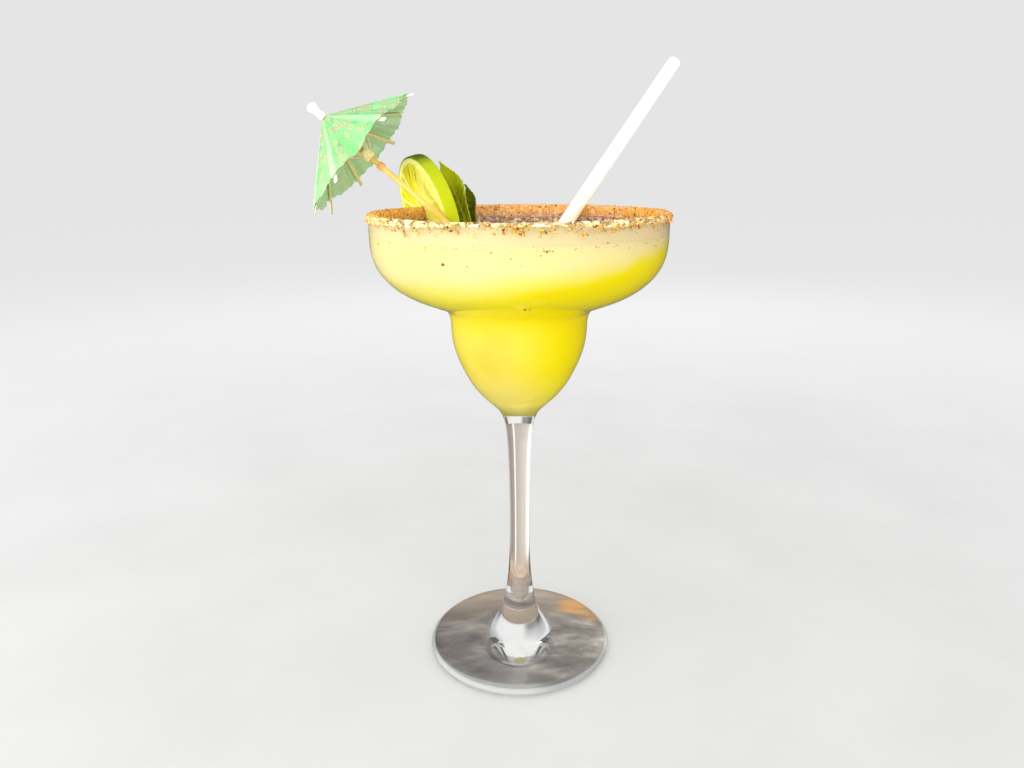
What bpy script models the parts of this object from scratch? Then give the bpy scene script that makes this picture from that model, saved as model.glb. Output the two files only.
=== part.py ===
"""A margarita in its welled stem glass: pale yellow drink, chili and salt rim,
lime wheel, mint, paper straw and a little paper umbrella.

Metres, +Z up. The origin is the centre of the foot's flat underside.
"""
import math
import random

import bmesh
import bpy
from mathutils import Matrix, Vector

MM = 0.001
GAP = 0.3 * MM
TURN_STEPS = 40

# The glass
GLASS_HEIGHT = 178.0 * MM
RIM_RADIUS = 54.1 * MM
WALL = 1.8 * MM
FOOT_RADIUS = 37.5 * MM
WELL_FLOOR_Z = 104.6 * MM
WELL_CORNER_Z = 108.5 * MM

# The drink and the crust on the rim
DRINK_LEVEL_Z = 170.5 * MM
CRUST_THICKNESS = 0.6 * MM
CRUST_DEPTH_OUTSIDE = 3.2 * MM
CRUST_DEPTH_INSIDE = 4.6 * MM
GRAIN_COUNT = 54
GRAIN_SIZES = (0.45 * MM, 0.8 * MM)

# The lime wheel, pushed over the rim by the slit in it
LIME_RADIUS = 23.0 * MM
LIME_THICKNESS = 5.6 * MM
LIME_RIND = 1.9 * MM
LIME_SEGMENTS = 10
LIME_RELIEF = 0.3 * MM
LIME_EDGE = 0.5 * MM
LIME_FACE_CENTRE = Vector((-39.0, 36.6, 176.2)) * MM
LIME_FACE_NORMAL = Vector((-0.85, -0.465, -0.25)).normalized()

# Mint leaves: base, tip, the way across the leaf, and half the width
LEAF_THICKNESS = 0.5 * MM
LEAF_STEPS = 14
LEAF_FOLD = 0.22
LEAF_WAVE = 0.035
LEAF_BOW = 0.06
MINT_LEAVES = {
    "mint_leaf_1": (Vector((-19.6, 26.1, 167.0)) * MM, Vector((-31.8, 38.0, 196.4)) * MM,
                    Vector((0.65, -0.72, 0.1)), 8.2 * MM),
    "mint_leaf_2": (Vector((-17.2, 31.0, 166.0)) * MM, Vector((-21.6, 39.5, 187.4)) * MM,
                    Vector((0.42, -0.9, 0.1)), 6.8 * MM),
}

# The straw, leaning on the crust at the far side
STRAW_RADIUS = 2.9 * MM
STRAW_PAPER = 0.4 * MM
STRAW_FOOT = Vector((-15.8, 6.8, 125.0)) * MM
STRAW_AT_RIM = Vector((25.1, 41.0, 179.3)) * MM
STRAW_LENGTH = 159.0 * MM

# The umbrella: its axis runs from the top of the cone down the stick
UMBRELLA_AXIS = Vector((0.758, -0.005, -0.652)).normalized()
CANOPY_APEX = Vector((-72.6, 15.6, 212.7)) * MM
CANOPY_RADIUS = 28.7 * MM
CANOPY_HEIGHT = 20.6 * MM
CANOPY_PAPER = 0.4 * MM
PANEL_COLUMNS = 6
PAPER_HANG = 0.5
EDGE_SCALLOP = 0.02
RIB_SECTION = (1.6 * MM, 0.5 * MM)
RIB_START = 4.7 * MM
RIB_OVERHANG = 1.9 * MM
# Each rib's angle round the stick, how far it is spread, and how much of it the paper covers;
# one is pulled in, and one stands out further from the paper than the others
RIBS = ((18.0, 1.0, 1.0), (58.0, 1.0, 1.0), (112.0, 1.0, 1.0), (142.0, 1.12, 1.0),
        (199.0, 1.0, 0.91), (242.0, 1.0, 1.0), (285.0, 1.0, 1.0), (333.0, 0.8, 1.0))
STRUT_RADIUS = 0.45 * MM
STRUT_REACH = 0.45
RUNNER_RADIUS = 2.1 * MM
# Where the small pieces begin and end along the stick, counted from the top of the cone
CROWN_HUB_SPAN = (3.0 * MM, 6.0 * MM)
RUNNER_SPAN = (CANOPY_HEIGHT - 1.4 * MM, CANOPY_HEIGHT + 2.4 * MM)
STOP_RING_SPAN = (CANOPY_HEIGHT + 5.8 * MM, CANOPY_HEIGHT + 8.0 * MM)
STICK_RADIUS = 1.05 * MM
STICK_LENGTH = 116.0 * MM
STICK_START = 1.2 * MM
FINIAL_BASE = 0.9 * MM
FINIAL_LENGTH = 7.0 * MM

OBJECT_NAME = "margarita_cocktail"


def linear(rgb):
    """Turn a colour as seen on a screen, 0 to 255, into Blender's linear values."""
    values = []
    for channel in rgb:
        c = channel / 255.0
        values.append(c / 12.92 if c <= 0.04045 else ((c + 0.055) / 1.055) ** 2.4)
    return (*values, 1.0)


def material(name, rgb, roughness, metallic=0.0, transmission=0.0):
    made = bpy.data.materials.new(name)
    made.use_nodes = True
    shader = made.node_tree.nodes["Principled BSDF"]
    shader.inputs["Base Color"].default_value = linear(rgb)
    shader.inputs["Roughness"].default_value = roughness
    shader.inputs["Metallic"].default_value = metallic
    shader.inputs["Transmission Weight"].default_value = transmission
    made.diffuse_color = linear(rgb)
    return made


def link(obj, collection):
    collection.objects.link(obj)
    return obj


def as_guide(obj):
    """A cutter is drawn as wire and never rendered."""
    obj.display_type = "WIRE"
    obj.hide_render = True
    return obj


def offset(points, distance):
    """The same line moved sideways, to the left of the way it runs."""
    moved = []
    for i, point in enumerate(points):
        before = points[max(i - 1, 0)]
        after = points[min(i + 1, len(points) - 1)]
        along = (after - before).normalized()
        moved.append(point + Vector((-along.y, along.x)) * distance)
    return moved


def turned(name, profile, collection, steps=TURN_STEPS, closed=False):
    """Turn a profile of (r, z) points about Z; it runs down its outer side."""
    mesh = bpy.data.meshes.new(name)
    points = [(r, 0.0, z) for r, z in profile]
    edges = [(i, i + 1) for i in range(len(points) - 1)]
    if closed:
        edges.append((len(points) - 1, 0))
    mesh.from_pydata(points, edges, [])
    obj = link(bpy.data.objects.new(name, mesh), collection)
    screw = obj.modifiers.new("Screw", "SCREW")
    screw.axis = "Z"
    screw.steps = steps
    screw.render_steps = steps
    screw.use_merge_vertices = True
    screw.merge_threshold = 0.00001
    return obj


def baked(obj):
    """Replace an object's modifiers by the mesh that they make."""
    bpy.context.view_layer.update()
    evaluated = obj.evaluated_get(bpy.context.evaluated_depsgraph_get())
    mesh = bpy.data.meshes.new_from_object(evaluated)
    obj.modifiers.clear()
    obj.data = mesh
    return obj


def reshape(obj, rule):
    """Move each vertex to where the rule puts it."""
    for vertex in obj.data.vertices:
        vertex.co = rule(vertex.co.copy())
    obj.data.update()
    return obj


def cut(obj, cutter, solver="EXACT"):
    boolean = obj.modifiers.new("Cut " + cutter.name, "BOOLEAN")
    boolean.operation = "DIFFERENCE"
    boolean.solver = solver
    boolean.object = cutter
    return obj


def matrix_from(origin, z_axis, x_hint):
    """A frame at origin with its Z along z_axis and its X near x_hint."""
    z = z_axis.normalized()
    x = (x_hint - z * x_hint.dot(z)).normalized()
    y = z.cross(x)
    frame = Matrix((x, y, z)).transposed().to_4x4()
    frame.translation = origin
    return frame


def rod(name, start, end, radius, collection, sides=16):
    """A plain round rod between two points."""
    mesh = bpy.data.meshes.new(name)
    made = bmesh.new()
    along = end - start
    bmesh.ops.create_cone(made, cap_ends=True, segments=sides, radius1=radius, radius2=radius,
                          depth=along.length)
    made.to_mesh(mesh)
    made.free()
    obj = link(bpy.data.objects.new(name, mesh), collection)
    hint = Vector((0, 1, 0)) if abs(along.normalized().y) < 0.9 else Vector((1, 0, 0))
    obj.matrix_world = matrix_from((start + end) / 2, along, hint)
    return obj


def finish(obj, made, smooth=True):
    obj.data.materials.clear()
    obj.data.materials.append(made)
    if smooth:
        obj.data.shade_smooth()
        obj.data.set_sharp_from_angle(angle=math.radians(40))
    return obj


def outer_curve():
    """The glass's outer side, from just under the rim to the edge of the foot."""
    outline_mm = [(53.9, 173.5), (54.1, 169.5), (53.5, 164.0), (51.9, 159.6), (49.4, 155.9),
                  (45.6, 152.3), (40.2, 149.0), (34.0, 146.4), (29.0, 144.4), (26.8, 142.6),
                  (25.8, 139.5), (25.6, 135.5), (25.0, 130.5), (23.6, 125.5), (21.5, 120.5),
                  (18.7, 115.2), (15.0, 110.3), (10.8, 106.2), (7.6, 102.8), (5.9, 98.8),
                  (5.0, 93.0), (4.4, 82.0), (3.95, 58.0), (4.3, 38.0), (5.5, 25.5),
                  (7.3, 16.5), (9.6, 11.1), (13.2, 7.8), (19.0, 5.5), (27.5, 3.8),
                  (36.4, 2.4), (37.5, 1.3)]
    points = [Vector(point) * MM for point in outline_mm]
    points[0].x = RIM_RADIUS
    points[-1].x = FOOT_RADIUS
    return [Vector((RIM_RADIUS, GLASS_HEIGHT - WALL / 2))] + points


def inner_curve(spare=0.0):
    """The glass's inner side from the rim down to the well's floor."""
    side = [p for p in outer_curve() if p.y > WELL_CORNER_Z]
    inside = offset(side, -(WALL + spare))
    floor_z = WELL_FLOOR_Z + spare
    low = inside[-1]
    rounding = [Vector((low.x * math.cos(a), low.y - (low.y - floor_z) * math.sin(a)))
                for a in (math.pi / 8, math.pi / 4, math.pi * 3 / 8)]
    return inside + rounding + [Vector((0.0, floor_z))]


def rim_round():
    """The rim's half circle, from its inner to its outer side."""
    centre = Vector((RIM_RADIUS - WALL / 2, GLASS_HEIGHT - WALL / 2))
    return [centre + WALL / 2 * Vector((-math.cos(a), math.sin(a)))
            for a in (math.pi / 4, math.pi / 2, 3 * math.pi / 4)]


def make_glass(parts):
    inside = list(reversed(inner_curve()))
    outside = outer_curve()
    underside = [Vector((FOOT_RADIUS - 0.9 * MM, 0.0)), Vector((0.0, 0.0))]
    profile = inside + rim_round() + outside + underside
    glass = turned("glass", profile, parts)
    return finish(baked(glass), material("clear glass", (232, 232, 228), 0.02, transmission=1.0))


def crust_depth(angle, inside):
    """The crust reaches a different way down round the rim."""
    base = CRUST_DEPTH_INSIDE if inside else CRUST_DEPTH_OUTSIDE
    wave = 0.5 * math.sin(5 * angle + 0.7) + 0.3 * math.sin(11 * angle + (2.0 if inside else 0.4))
    return base + wave * 0.8 * MM


def crust_profile():
    """A cap over the rim, as a closed loop: down its outer side, up under it, then inside."""
    outer_r = RIM_RADIUS + GAP + CRUST_THICKNESS
    inner_r = RIM_RADIUS - WALL - GAP - CRUST_THICKNESS
    top = GLASS_HEIGHT + GAP + CRUST_THICKNESS
    under = GLASS_HEIGHT + GAP
    low_out = GLASS_HEIGHT - CRUST_DEPTH_OUTSIDE
    low_in = GLASS_HEIGHT - CRUST_DEPTH_INSIDE
    return [(outer_r - 0.7 * MM, top), (outer_r, under - 0.5 * MM), (outer_r, low_out + 0.5 * MM),
            (RIM_RADIUS + GAP, low_out), (RIM_RADIUS + GAP, under - 0.3 * MM),
            (RIM_RADIUS + GAP - 0.4 * MM, under), (inner_r + CRUST_THICKNESS + 0.4 * MM, under),
            (inner_r + CRUST_THICKNESS, under - 0.3 * MM), (inner_r + CRUST_THICKNESS, low_in),
            (inner_r, low_in + 0.5 * MM), (inner_r, under - 0.5 * MM), (inner_r + 0.7 * MM, top)]


def wavy_edge(point):
    """Lower the crust's two edges by a depth that varies round the rim."""
    angle = math.atan2(point.y, point.x)
    inside = math.hypot(point.x, point.y) < RIM_RADIUS - WALL / 2
    base = CRUST_DEPTH_INSIDE if inside else CRUST_DEPTH_OUTSIDE
    if point.z < GLASS_HEIGHT - base + 0.6 * MM:
        point.z -= crust_depth(angle, inside) - base
    return point


def near_garnish(angle):
    """True where the lime wheel sits or the straw leans on the rim."""
    lime_angle = math.atan2(LIME_FACE_CENTRE.y, LIME_FACE_CENTRE.x)
    straw_angle = math.atan2(STRAW_AT_RIM.y, STRAW_AT_RIM.x)
    for centre, half_width in ((lime_angle, 0.14), (straw_angle, 0.12)):
        away = math.remainder(angle - centre, 2 * math.pi)
        if abs(away) < half_width:
            return True
    return False


def make_crust(parts):
    crust = baked(turned("chili_salt_rim", crust_profile(), parts, closed=True))
    reshape(crust, wavy_edge)
    draw = random.Random(7)
    grains = bpy.data.collections.new("rim grains")
    bpy.context.scene.collection.children.link(grains)
    outer_r = RIM_RADIUS + GAP + CRUST_THICKNESS
    inner_r = RIM_RADIUS - WALL - GAP - CRUST_THICKNESS
    for i in range(GRAIN_COUNT):
        angle = 2 * math.pi * (i + draw.uniform(-0.3, 0.3)) / GRAIN_COUNT
        size = draw.uniform(*GRAIN_SIZES)
        place = i % 3
        if near_garnish(angle):
            continue
        if place == 0:
            r, z = RIM_RADIUS - WALL / 2, GLASS_HEIGHT + GAP + CRUST_THICKNESS
        elif place == 1:
            r, z = outer_r, GLASS_HEIGHT - draw.uniform(0.4, 2.0) * MM
        else:
            r, z = inner_r, GLASS_HEIGHT - draw.uniform(0.4, 3.2) * MM
        mesh = bpy.data.meshes.new("grain")
        made = bmesh.new()
        bmesh.ops.create_icosphere(made, subdivisions=1, radius=size)
        made.to_mesh(mesh)
        made.free()
        grain = link(bpy.data.objects.new("grain", mesh), grains)
        grain.location = (r * math.cos(angle), r * math.sin(angle), z)
        grain.rotation_euler = [draw.uniform(0, math.pi) for _ in range(3)]
        grain.scale = (1.0, draw.uniform(0.7, 1.0), draw.uniform(0.6, 0.9))
    join = crust.modifiers.new("Grains", "BOOLEAN")
    join.operation = "UNION"
    join.operand_type = "COLLECTION"
    join.collection = grains
    join.solver = "MANIFOLD"
    baked(crust)
    for grain in list(grains.objects):
        bpy.data.objects.remove(grain)
    bpy.data.collections.remove(grains)
    return finish(crust, material("chili and salt crust", (222, 158, 72), 0.8), smooth=False)


def lime_thickness_at(r, angle):
    """Half the wheel's thickness: membranes and core lie a little below the pulp."""
    half = LIME_THICKNESS / 2
    segment = (angle / (2 * math.pi) * LIME_SEGMENTS) % 1.0
    on_membrane = min(segment, 1.0 - segment) < 0.05
    in_pulp = 0.14 * LIME_RADIUS < r < LIME_RADIUS - LIME_RIND * 1.05
    return half if in_pulp and not on_membrane else half - LIME_RELIEF


def lime_relief(point):
    if abs(point.z) < LIME_THICKNESS / 2 - 0.01 * MM:
        return point
    r = math.hypot(point.x, point.y)
    if r > LIME_RADIUS - LIME_RIND / 2:
        return point
    half = lime_thickness_at(r, math.atan2(point.y, point.x))
    point.z = math.copysign(half, point.z)
    return point


def lime_matrix():
    centre = LIME_FACE_CENTRE - LIME_FACE_NORMAL * LIME_THICKNESS / 2
    return matrix_from(centre, LIME_FACE_NORMAL, Vector((0, 0, 1)))


def make_lime(parts, slot_cutters):
    half = LIME_THICKNESS / 2
    core_and_pulp = (0.0, 0.13, 0.15, 0.5)
    face = [LIME_RADIUS * k for k in core_and_pulp]
    face += [LIME_RADIUS - LIME_RIND * 1.1, LIME_RADIUS - LIME_RIND * 0.9]
    face.append(LIME_RADIUS - LIME_EDGE)
    profile = [(r, half) for r in face]
    profile += [(LIME_RADIUS, half - LIME_EDGE), (LIME_RADIUS, LIME_EDGE - half)]
    profile += [(r, -half) for r in reversed(face)]
    lime = turned("lime_wheel", profile, parts, steps=LIME_SEGMENTS * 5)
    reshape(baked(lime), lime_relief)
    lime.matrix_world = lime_matrix()
    for cutter in slot_cutters:
        cut(lime, cutter)
    baked(lime)
    return finish(lime, material("lime", (214, 222, 40), 0.35), smooth=False)


def make_slot_cutters(cutters):
    """The wall and the crust, grown by the gap, as the wheel's slit has to pass them."""
    lowest = LIME_FACE_CENTRE.z - LIME_RADIUS - 3 * MM
    outside = [p for p in outer_curve() if p.y > lowest]
    wall = offset(outside, GAP) + list(reversed(offset(outside, -(WALL + GAP))))
    wall_cutter = as_guide(baked(turned("wall slot", wall, cutters, closed=True)))
    outer_r = RIM_RADIUS + CRUST_THICKNESS + 2 * GAP
    inner_r = RIM_RADIUS - WALL - CRUST_THICKNESS - 2 * GAP
    top = GLASS_HEIGHT + CRUST_THICKNESS + 2 * GAP
    low = GLASS_HEIGHT - CRUST_DEPTH_INSIDE - 1.4 * MM
    band = [(outer_r, top), (outer_r, low), (inner_r, low), (inner_r, top)]
    band_cutter = as_guide(baked(turned("crust slot", band, cutters, closed=True)))
    return [wall_cutter, band_cutter]


def leaf_surface(base, tip, across, half_width, spare=0.0):
    """Rule that bends a flat unit grid into a mint leaf."""
    along = tip - base
    length = along.length
    x = along.normalized()
    y = (across - x * across.dot(x)).normalized()
    z = x.cross(y)

    def place(point):
        u = point.x + 0.5
        v = point.y * 2.0
        swell = math.sin(math.pi * min(u * 0.94 + 0.03, 1.0)) ** 0.75
        tooth = 1.0 + (0.09 if round(u * LEAF_STEPS) % 2 else -0.05)
        width = (half_width * swell * tooth * (0.55 + 0.45 * math.sin(math.pi * u ** 0.8))
                 if u > 0.12 else 0.9 * MM + 2.2 * MM * u)
        width += spare
        fold = -LEAF_FOLD * abs(v) * width
        wave = LEAF_WAVE * length * math.sin(9.0 * u + 1.5 * v) * abs(v)
        bow = LEAF_BOW * length * math.sin(math.pi * u)
        reach = u * (length + 2 * spare) - spare
        return base + x * reach + y * (v * width) + z * (fold + wave + bow)

    return place


def make_leaf(name, leaf, collection, thickness=LEAF_THICKNESS, spare=0.0):
    mesh = bpy.data.meshes.new(name)
    made = bmesh.new()
    bmesh.ops.create_grid(made, x_segments=LEAF_STEPS, y_segments=4, size=0.5)
    made.to_mesh(mesh)
    made.free()
    obj = link(bpy.data.objects.new(name, mesh), collection)
    reshape(obj, leaf_surface(*leaf, spare))
    split = obj.modifiers.new("Alike triangles", "TRIANGULATE")
    split.quad_method = "FIXED"
    solid = obj.modifiers.new("Thickness", "SOLIDIFY")
    solid.thickness = thickness
    solid.offset = 0.0
    return baked(obj)


def straw_axis():
    return (STRAW_AT_RIM - STRAW_FOOT).normalized()


def make_straw(parts):
    """A paper tube, open at both ends."""
    bore = STRAW_RADIUS - STRAW_PAPER
    half = STRAW_LENGTH / 2
    loop = [(STRAW_RADIUS, half), (STRAW_RADIUS, -half), (bore, -half), (bore, half)]
    straw = baked(turned("straw", loop, parts, steps=28, closed=True))
    middle = STRAW_FOOT + straw_axis() * half
    straw.matrix_world = matrix_from(middle, straw_axis(), Vector((1, 0, 0)))
    return finish(straw, material("white paper", (252, 252, 249), 0.6))


def umbrella_matrix():
    """The umbrella's frame: Z runs down the stick, X is the rib angle's zero."""
    return matrix_from(CANOPY_APEX, UMBRELLA_AXIS, Vector((0.635, 0.0, 0.772)))


def panel_place(column):
    """A canopy column's angle, place across its panel, panel width, spread and cover."""
    panel = column // PANEL_COLUMNS
    share = (column % PANEL_COLUMNS) / PANEL_COLUMNS
    start, spread_start, cover_start = RIBS[panel]
    end, spread_end, cover_end = RIBS[(panel + 1) % len(RIBS)]
    width = (end - start) % 360.0
    spread = spread_start + (spread_end - spread_start) * share
    cover = cover_start + (cover_end - cover_start) * share
    return math.radians(start + width * share), share, math.radians(width), spread, cover


def fold_factor(share, width):
    """1 along a rib, and at the crease between two ribs as near the stick as a taut panel is."""
    return 1.0 - (1.0 - math.cos(width / 2)) * (1.0 - abs(math.cos(math.pi * share)))


def canopy_rule(point):
    """Fold the plain cone; where the paper is pulled in it hangs further down."""
    columns = PANEL_COLUMNS * len(RIBS)
    turn = math.atan2(point.y, point.x) / (2 * math.pi) * columns
    angle, share, width, spread, cover = panel_place(round(turn) % columns)
    r = math.hypot(point.x, point.y)
    reach = r / CANOPY_RADIUS
    scallop = 1.0 - EDGE_SCALLOP * reach ** 4 * math.sin(math.pi * share) ** 0.5
    scallop += EDGE_SCALLOP * reach ** 4 * (1 if round(share * PANEL_COLUMNS) % 2 else -1)
    fold = fold_factor(share, width)
    pulled_in = CANOPY_RADIUS * spread * math.sqrt(1.0 - fold * fold)
    hang = PAPER_HANG * (math.hypot(CANOPY_HEIGHT, pulled_in) - CANOPY_HEIGHT)
    height = (CANOPY_HEIGHT + hang) * reach * scallop * cover
    factor = fold * scallop * spread * cover
    return Vector((r * factor * math.cos(angle), r * factor * math.sin(angle), height))


def make_canopy(parts):
    rings = (0.07, 0.25, 0.5, 0.75, 1.0)
    profile = [(CANOPY_RADIUS * k, CANOPY_HEIGHT * k) for k in rings]
    columns = PANEL_COLUMNS * len(RIBS)
    canopy = baked(turned("umbrella_canopy", profile, parts, steps=columns))
    reshape(canopy, canopy_rule)
    solid = canopy.modifiers.new("Paper", "SOLIDIFY")
    solid.thickness = CANOPY_PAPER
    solid.offset = 0.0
    baked(canopy)
    canopy.matrix_world = umbrella_matrix()
    return finish(canopy, material("green paper", (175, 228, 160), 0.75), smooth=False)


def slope(spread):
    """The way that a rib runs, outwards and down the stick, and its length under the paper."""
    length = math.hypot(CANOPY_RADIUS * spread, CANOPY_HEIGHT)
    return CANOPY_RADIUS * spread / length, CANOPY_HEIGHT / length, length


def make_ribs_and_struts(parts, wood):
    inset = CANOPY_PAPER / 2 + GAP + 0.12 * MM + RIB_SECTION[1] / 2
    frame = umbrella_matrix()
    for number, (degrees, spread, _) in enumerate(RIBS, 1):
        out, down, length = slope(spread)
        end = length + (RIB_OVERHANG if spread >= 1.0 else -RIB_OVERHANG)
        turn = Matrix.Rotation(math.radians(degrees), 4, "Z")
        middle = (RIB_START + end) / 2
        place = Vector((out * middle - down * inset, 0.0, down * middle + out * inset))
        along = Vector((out, 0.0, down))
        mesh = bpy.data.meshes.new(f"umbrella_rib_{number}")
        made = bmesh.new()
        bmesh.ops.create_cube(made, size=1.0)
        bmesh.ops.scale(made, vec=(RIB_SECTION[1], RIB_SECTION[0], end - RIB_START), verts=made.verts)
        made.to_mesh(mesh)
        made.free()
        rib = link(bpy.data.objects.new(mesh.name, mesh), parts)
        rib.matrix_world = frame @ turn @ matrix_from(place, along, Vector((down, 0, -out)))
        bevel = rib.modifiers.new("Rounded edges", "BEVEL")
        bevel.width = 0.15 * MM
        bevel.segments = 1
        finish(baked(rib), wood, smooth=False)
        reach = length * STRUT_REACH
        under = inset + RIB_SECTION[1] / 2 + GAP + STRUT_RADIUS * 1.1
        top = Vector((out * reach - down * under, 0.0, down * reach + out * under))
        foot = Vector((RUNNER_RADIUS + GAP + STRUT_RADIUS * 0.7, 0.0, CANOPY_HEIGHT - 0.4 * MM))
        strut = rod(f"umbrella_strut_{number}", foot, top, STRUT_RADIUS, parts, sides=8)
        strut.matrix_world = frame @ turn @ strut.matrix_world
        finish(strut, wood, smooth=False)


def make_umbrella(parts):
    frame = umbrella_matrix()
    wood = material("bamboo", (229, 198, 138), 0.55)
    pale = material("pale card", (248, 247, 232), 0.6)
    make_canopy(parts)
    make_ribs_and_struts(parts, wood)

    stick = rod("umbrella_stick", Vector((0, 0, STICK_START)), Vector((0, 0, STICK_LENGTH)),
                STICK_RADIUS, parts, sides=20)
    stick.matrix_world = frame @ stick.matrix_world
    finish(stick, wood)

    waist = [(0.0, 0.0), (1.4 * MM, 0.2 * MM), (2.0 * MM, 1.2 * MM), (1.9 * MM, 2.2 * MM),
             (1.45 * MM, 3.0 * MM), (1.5 * MM, FINIAL_LENGTH - 0.4 * MM),
             (1.35 * MM, FINIAL_LENGTH), (0.0, FINIAL_LENGTH)]
    finial = turned("umbrella_finial", [(r, -z) for r, z in waist], parts, steps=20)
    reshape(baked(finial), lambda p: Vector((p.x, -p.y, FINIAL_BASE - FINIAL_LENGTH - p.z)))
    finial.matrix_world = frame
    finish(finial, pale)

    bore = STICK_RADIUS + GAP
    low, top = CROWN_HUB_SPAN
    hub = [(2.6 * MM, top), (3.0 * MM, top - 0.4 * MM), (1.9 * MM, low + 0.2 * MM), (bore, low),
           (bore, top)]
    crown = baked(turned("umbrella_crown_hub", hub, parts, steps=20, closed=True))
    crown.matrix_world = frame
    finish(crown, pale)

    low, top = RUNNER_SPAN
    sleeve = [(RUNNER_RADIUS - 0.3 * MM, top), (RUNNER_RADIUS, top - 0.4 * MM),
              (RUNNER_RADIUS, low), (bore, low), (bore, top)]
    runner = baked(turned("umbrella_runner", sleeve, parts, steps=20, closed=True))
    runner.matrix_world = frame
    finish(runner, pale)

    low, top = STOP_RING_SPAN
    ring = [(1.55 * MM, top), (1.7 * MM, (low + top) / 2), (1.55 * MM, low), (bore, low),
            (bore, top)]
    stop = baked(turned("umbrella_stop_ring", ring, parts, steps=20, closed=True))
    stop.matrix_world = frame
    finish(stop, material("orange rubber", (232, 150, 70), 0.5))


def make_drink(parts, cutters):
    """The drink fills the glass to its level and closes round what stands in it."""
    wall = [p for p in inner_curve(GAP) if p.y < DRINK_LEVEL_Z - 0.4 * MM]
    top_r = RIM_RADIUS - WALL - GAP
    profile = [Vector((0.0, DRINK_LEVEL_Z)), Vector((top_r * 0.5, DRINK_LEVEL_Z)),
               Vector((top_r, DRINK_LEVEL_Z))] + wall
    drink = baked(turned("drink", profile, parts))

    wheel = bpy.data.meshes.new("wheel pocket")
    made = bmesh.new()
    bmesh.ops.create_cone(made, cap_ends=True, segments=50, radius1=LIME_RADIUS + GAP,
                          radius2=LIME_RADIUS + GAP, depth=LIME_THICKNESS + 2 * GAP)
    made.to_mesh(wheel)
    made.free()
    pocket = as_guide(link(bpy.data.objects.new("wheel pocket", wheel), cutters))
    pocket.matrix_world = lime_matrix()

    low = STRAW_FOOT - straw_axis() * GAP
    straw = as_guide(rod("straw pocket", low, STRAW_AT_RIM, STRAW_RADIUS + GAP, cutters, sides=28))

    frame = umbrella_matrix()
    stick = as_guide(rod("stick pocket", Vector((0, 0, 40 * MM)),
                         Vector((0, 0, STICK_LENGTH + GAP)), STICK_RADIUS + GAP, cutters, sides=20))
    stick.matrix_world = frame @ stick.matrix_world

    pockets = [pocket, straw, stick]
    for name, leaf in MINT_LEAVES.items():
        grown = make_leaf(name + " pocket", leaf, cutters, LEAF_THICKNESS + 2 * GAP, GAP)
        pockets.append(as_guide(grown))
    for cutter in pockets:
        cut(drink, cutter)
    baked(drink)
    return finish(drink, material("yellow drink", (250, 232, 80), 0.25), smooth=False)


def main():
    for old in list(bpy.data.objects):
        bpy.data.objects.remove(old)
    parts = bpy.data.collections.new(OBJECT_NAME)
    cutters = bpy.data.collections.new("cutters")
    for made in (parts, cutters):
        bpy.context.scene.collection.children.link(made)

    make_glass(parts)
    make_crust(parts)
    make_lime(parts, make_slot_cutters(cutters))
    mint = material("mint", (118, 128, 22), 0.6)
    for name, leaf in MINT_LEAVES.items():
        finish(make_leaf(name, leaf, parts), mint, smooth=False)
    make_straw(parts)
    make_umbrella(parts)
    make_drink(parts, cutters)


main()
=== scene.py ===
# %% [markdown]
# # A margarita with all its garnish
# The solid model already stands in the scene as a fixed frame: a welled stem glass, the drink,
# the chili and salt crust, a lime wheel, two mint leaves, a paper straw and a paper umbrella.
# This lesson dresses it, one piece at a time, until it looks like the real drink.

# %% Load the frame
import math

import bpy
import numpy as np
from mathutils import Matrix, Vector


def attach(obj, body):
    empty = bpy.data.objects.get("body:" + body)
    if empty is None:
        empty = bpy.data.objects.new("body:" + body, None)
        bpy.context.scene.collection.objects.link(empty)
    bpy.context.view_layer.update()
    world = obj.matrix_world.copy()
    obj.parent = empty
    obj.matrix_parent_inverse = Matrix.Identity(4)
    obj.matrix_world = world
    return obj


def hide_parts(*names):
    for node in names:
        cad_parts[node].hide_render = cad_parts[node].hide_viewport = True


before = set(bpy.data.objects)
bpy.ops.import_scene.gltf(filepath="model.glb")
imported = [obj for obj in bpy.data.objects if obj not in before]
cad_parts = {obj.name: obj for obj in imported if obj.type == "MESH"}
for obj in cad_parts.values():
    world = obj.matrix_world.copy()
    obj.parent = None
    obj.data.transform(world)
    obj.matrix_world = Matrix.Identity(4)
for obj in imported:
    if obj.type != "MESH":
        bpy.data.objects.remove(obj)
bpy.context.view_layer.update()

MM = 0.001
print("nodes in the frame:", len(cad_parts))

# %% [markdown]
# ## The camera
# The picture is taken from just above the rim, from quite near, so the foot looks rounder than
# the rim. A near camera needs a wide lens. The numbers come from the glass itself: a turned shape
# whose rim and foot are circles of known size fixes how far away and how high the lens is.

# %% Camera


def add(name, data):
    """A new object in the scene that shows a mesh, a lamp or a camera."""
    made = bpy.data.objects.new(name, data)
    bpy.context.scene.collection.objects.link(made)
    return made


CAMERA_PLACE = Vector((-2.8, -280.1, 194.0)) * MM
CAMERA_DOWN = math.radians(16.04)
CAMERA_ROLL = math.radians(-0.3)
LENS_MM = 26.44

camera = add("camera", bpy.data.cameras.new("camera"))
camera.data.lens = LENS_MM
camera.data.clip_start = 0.01
look = Matrix.Rotation(math.pi / 2 - CAMERA_DOWN, 4, "X") @ Matrix.Rotation(CAMERA_ROLL, 4, "Z")
camera.matrix_world = Matrix.Translation(CAMERA_PLACE) @ look
bpy.context.scene.camera = camera
print("camera", [round(v, 4) for v in camera.location], "lens", LENS_MM)

# %% [markdown]
# ## A small kit for materials
# A finish is a Principled shader with a few nodes that drive its colour, roughness and bump.
# Writing each node out takes many lines, so one class adds nodes to a tree, and a second one
# does so for a material. Most methods return a socket, which can be passed straight to the next
# method. Lengths in them are in metres.

# %% Colours


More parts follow.
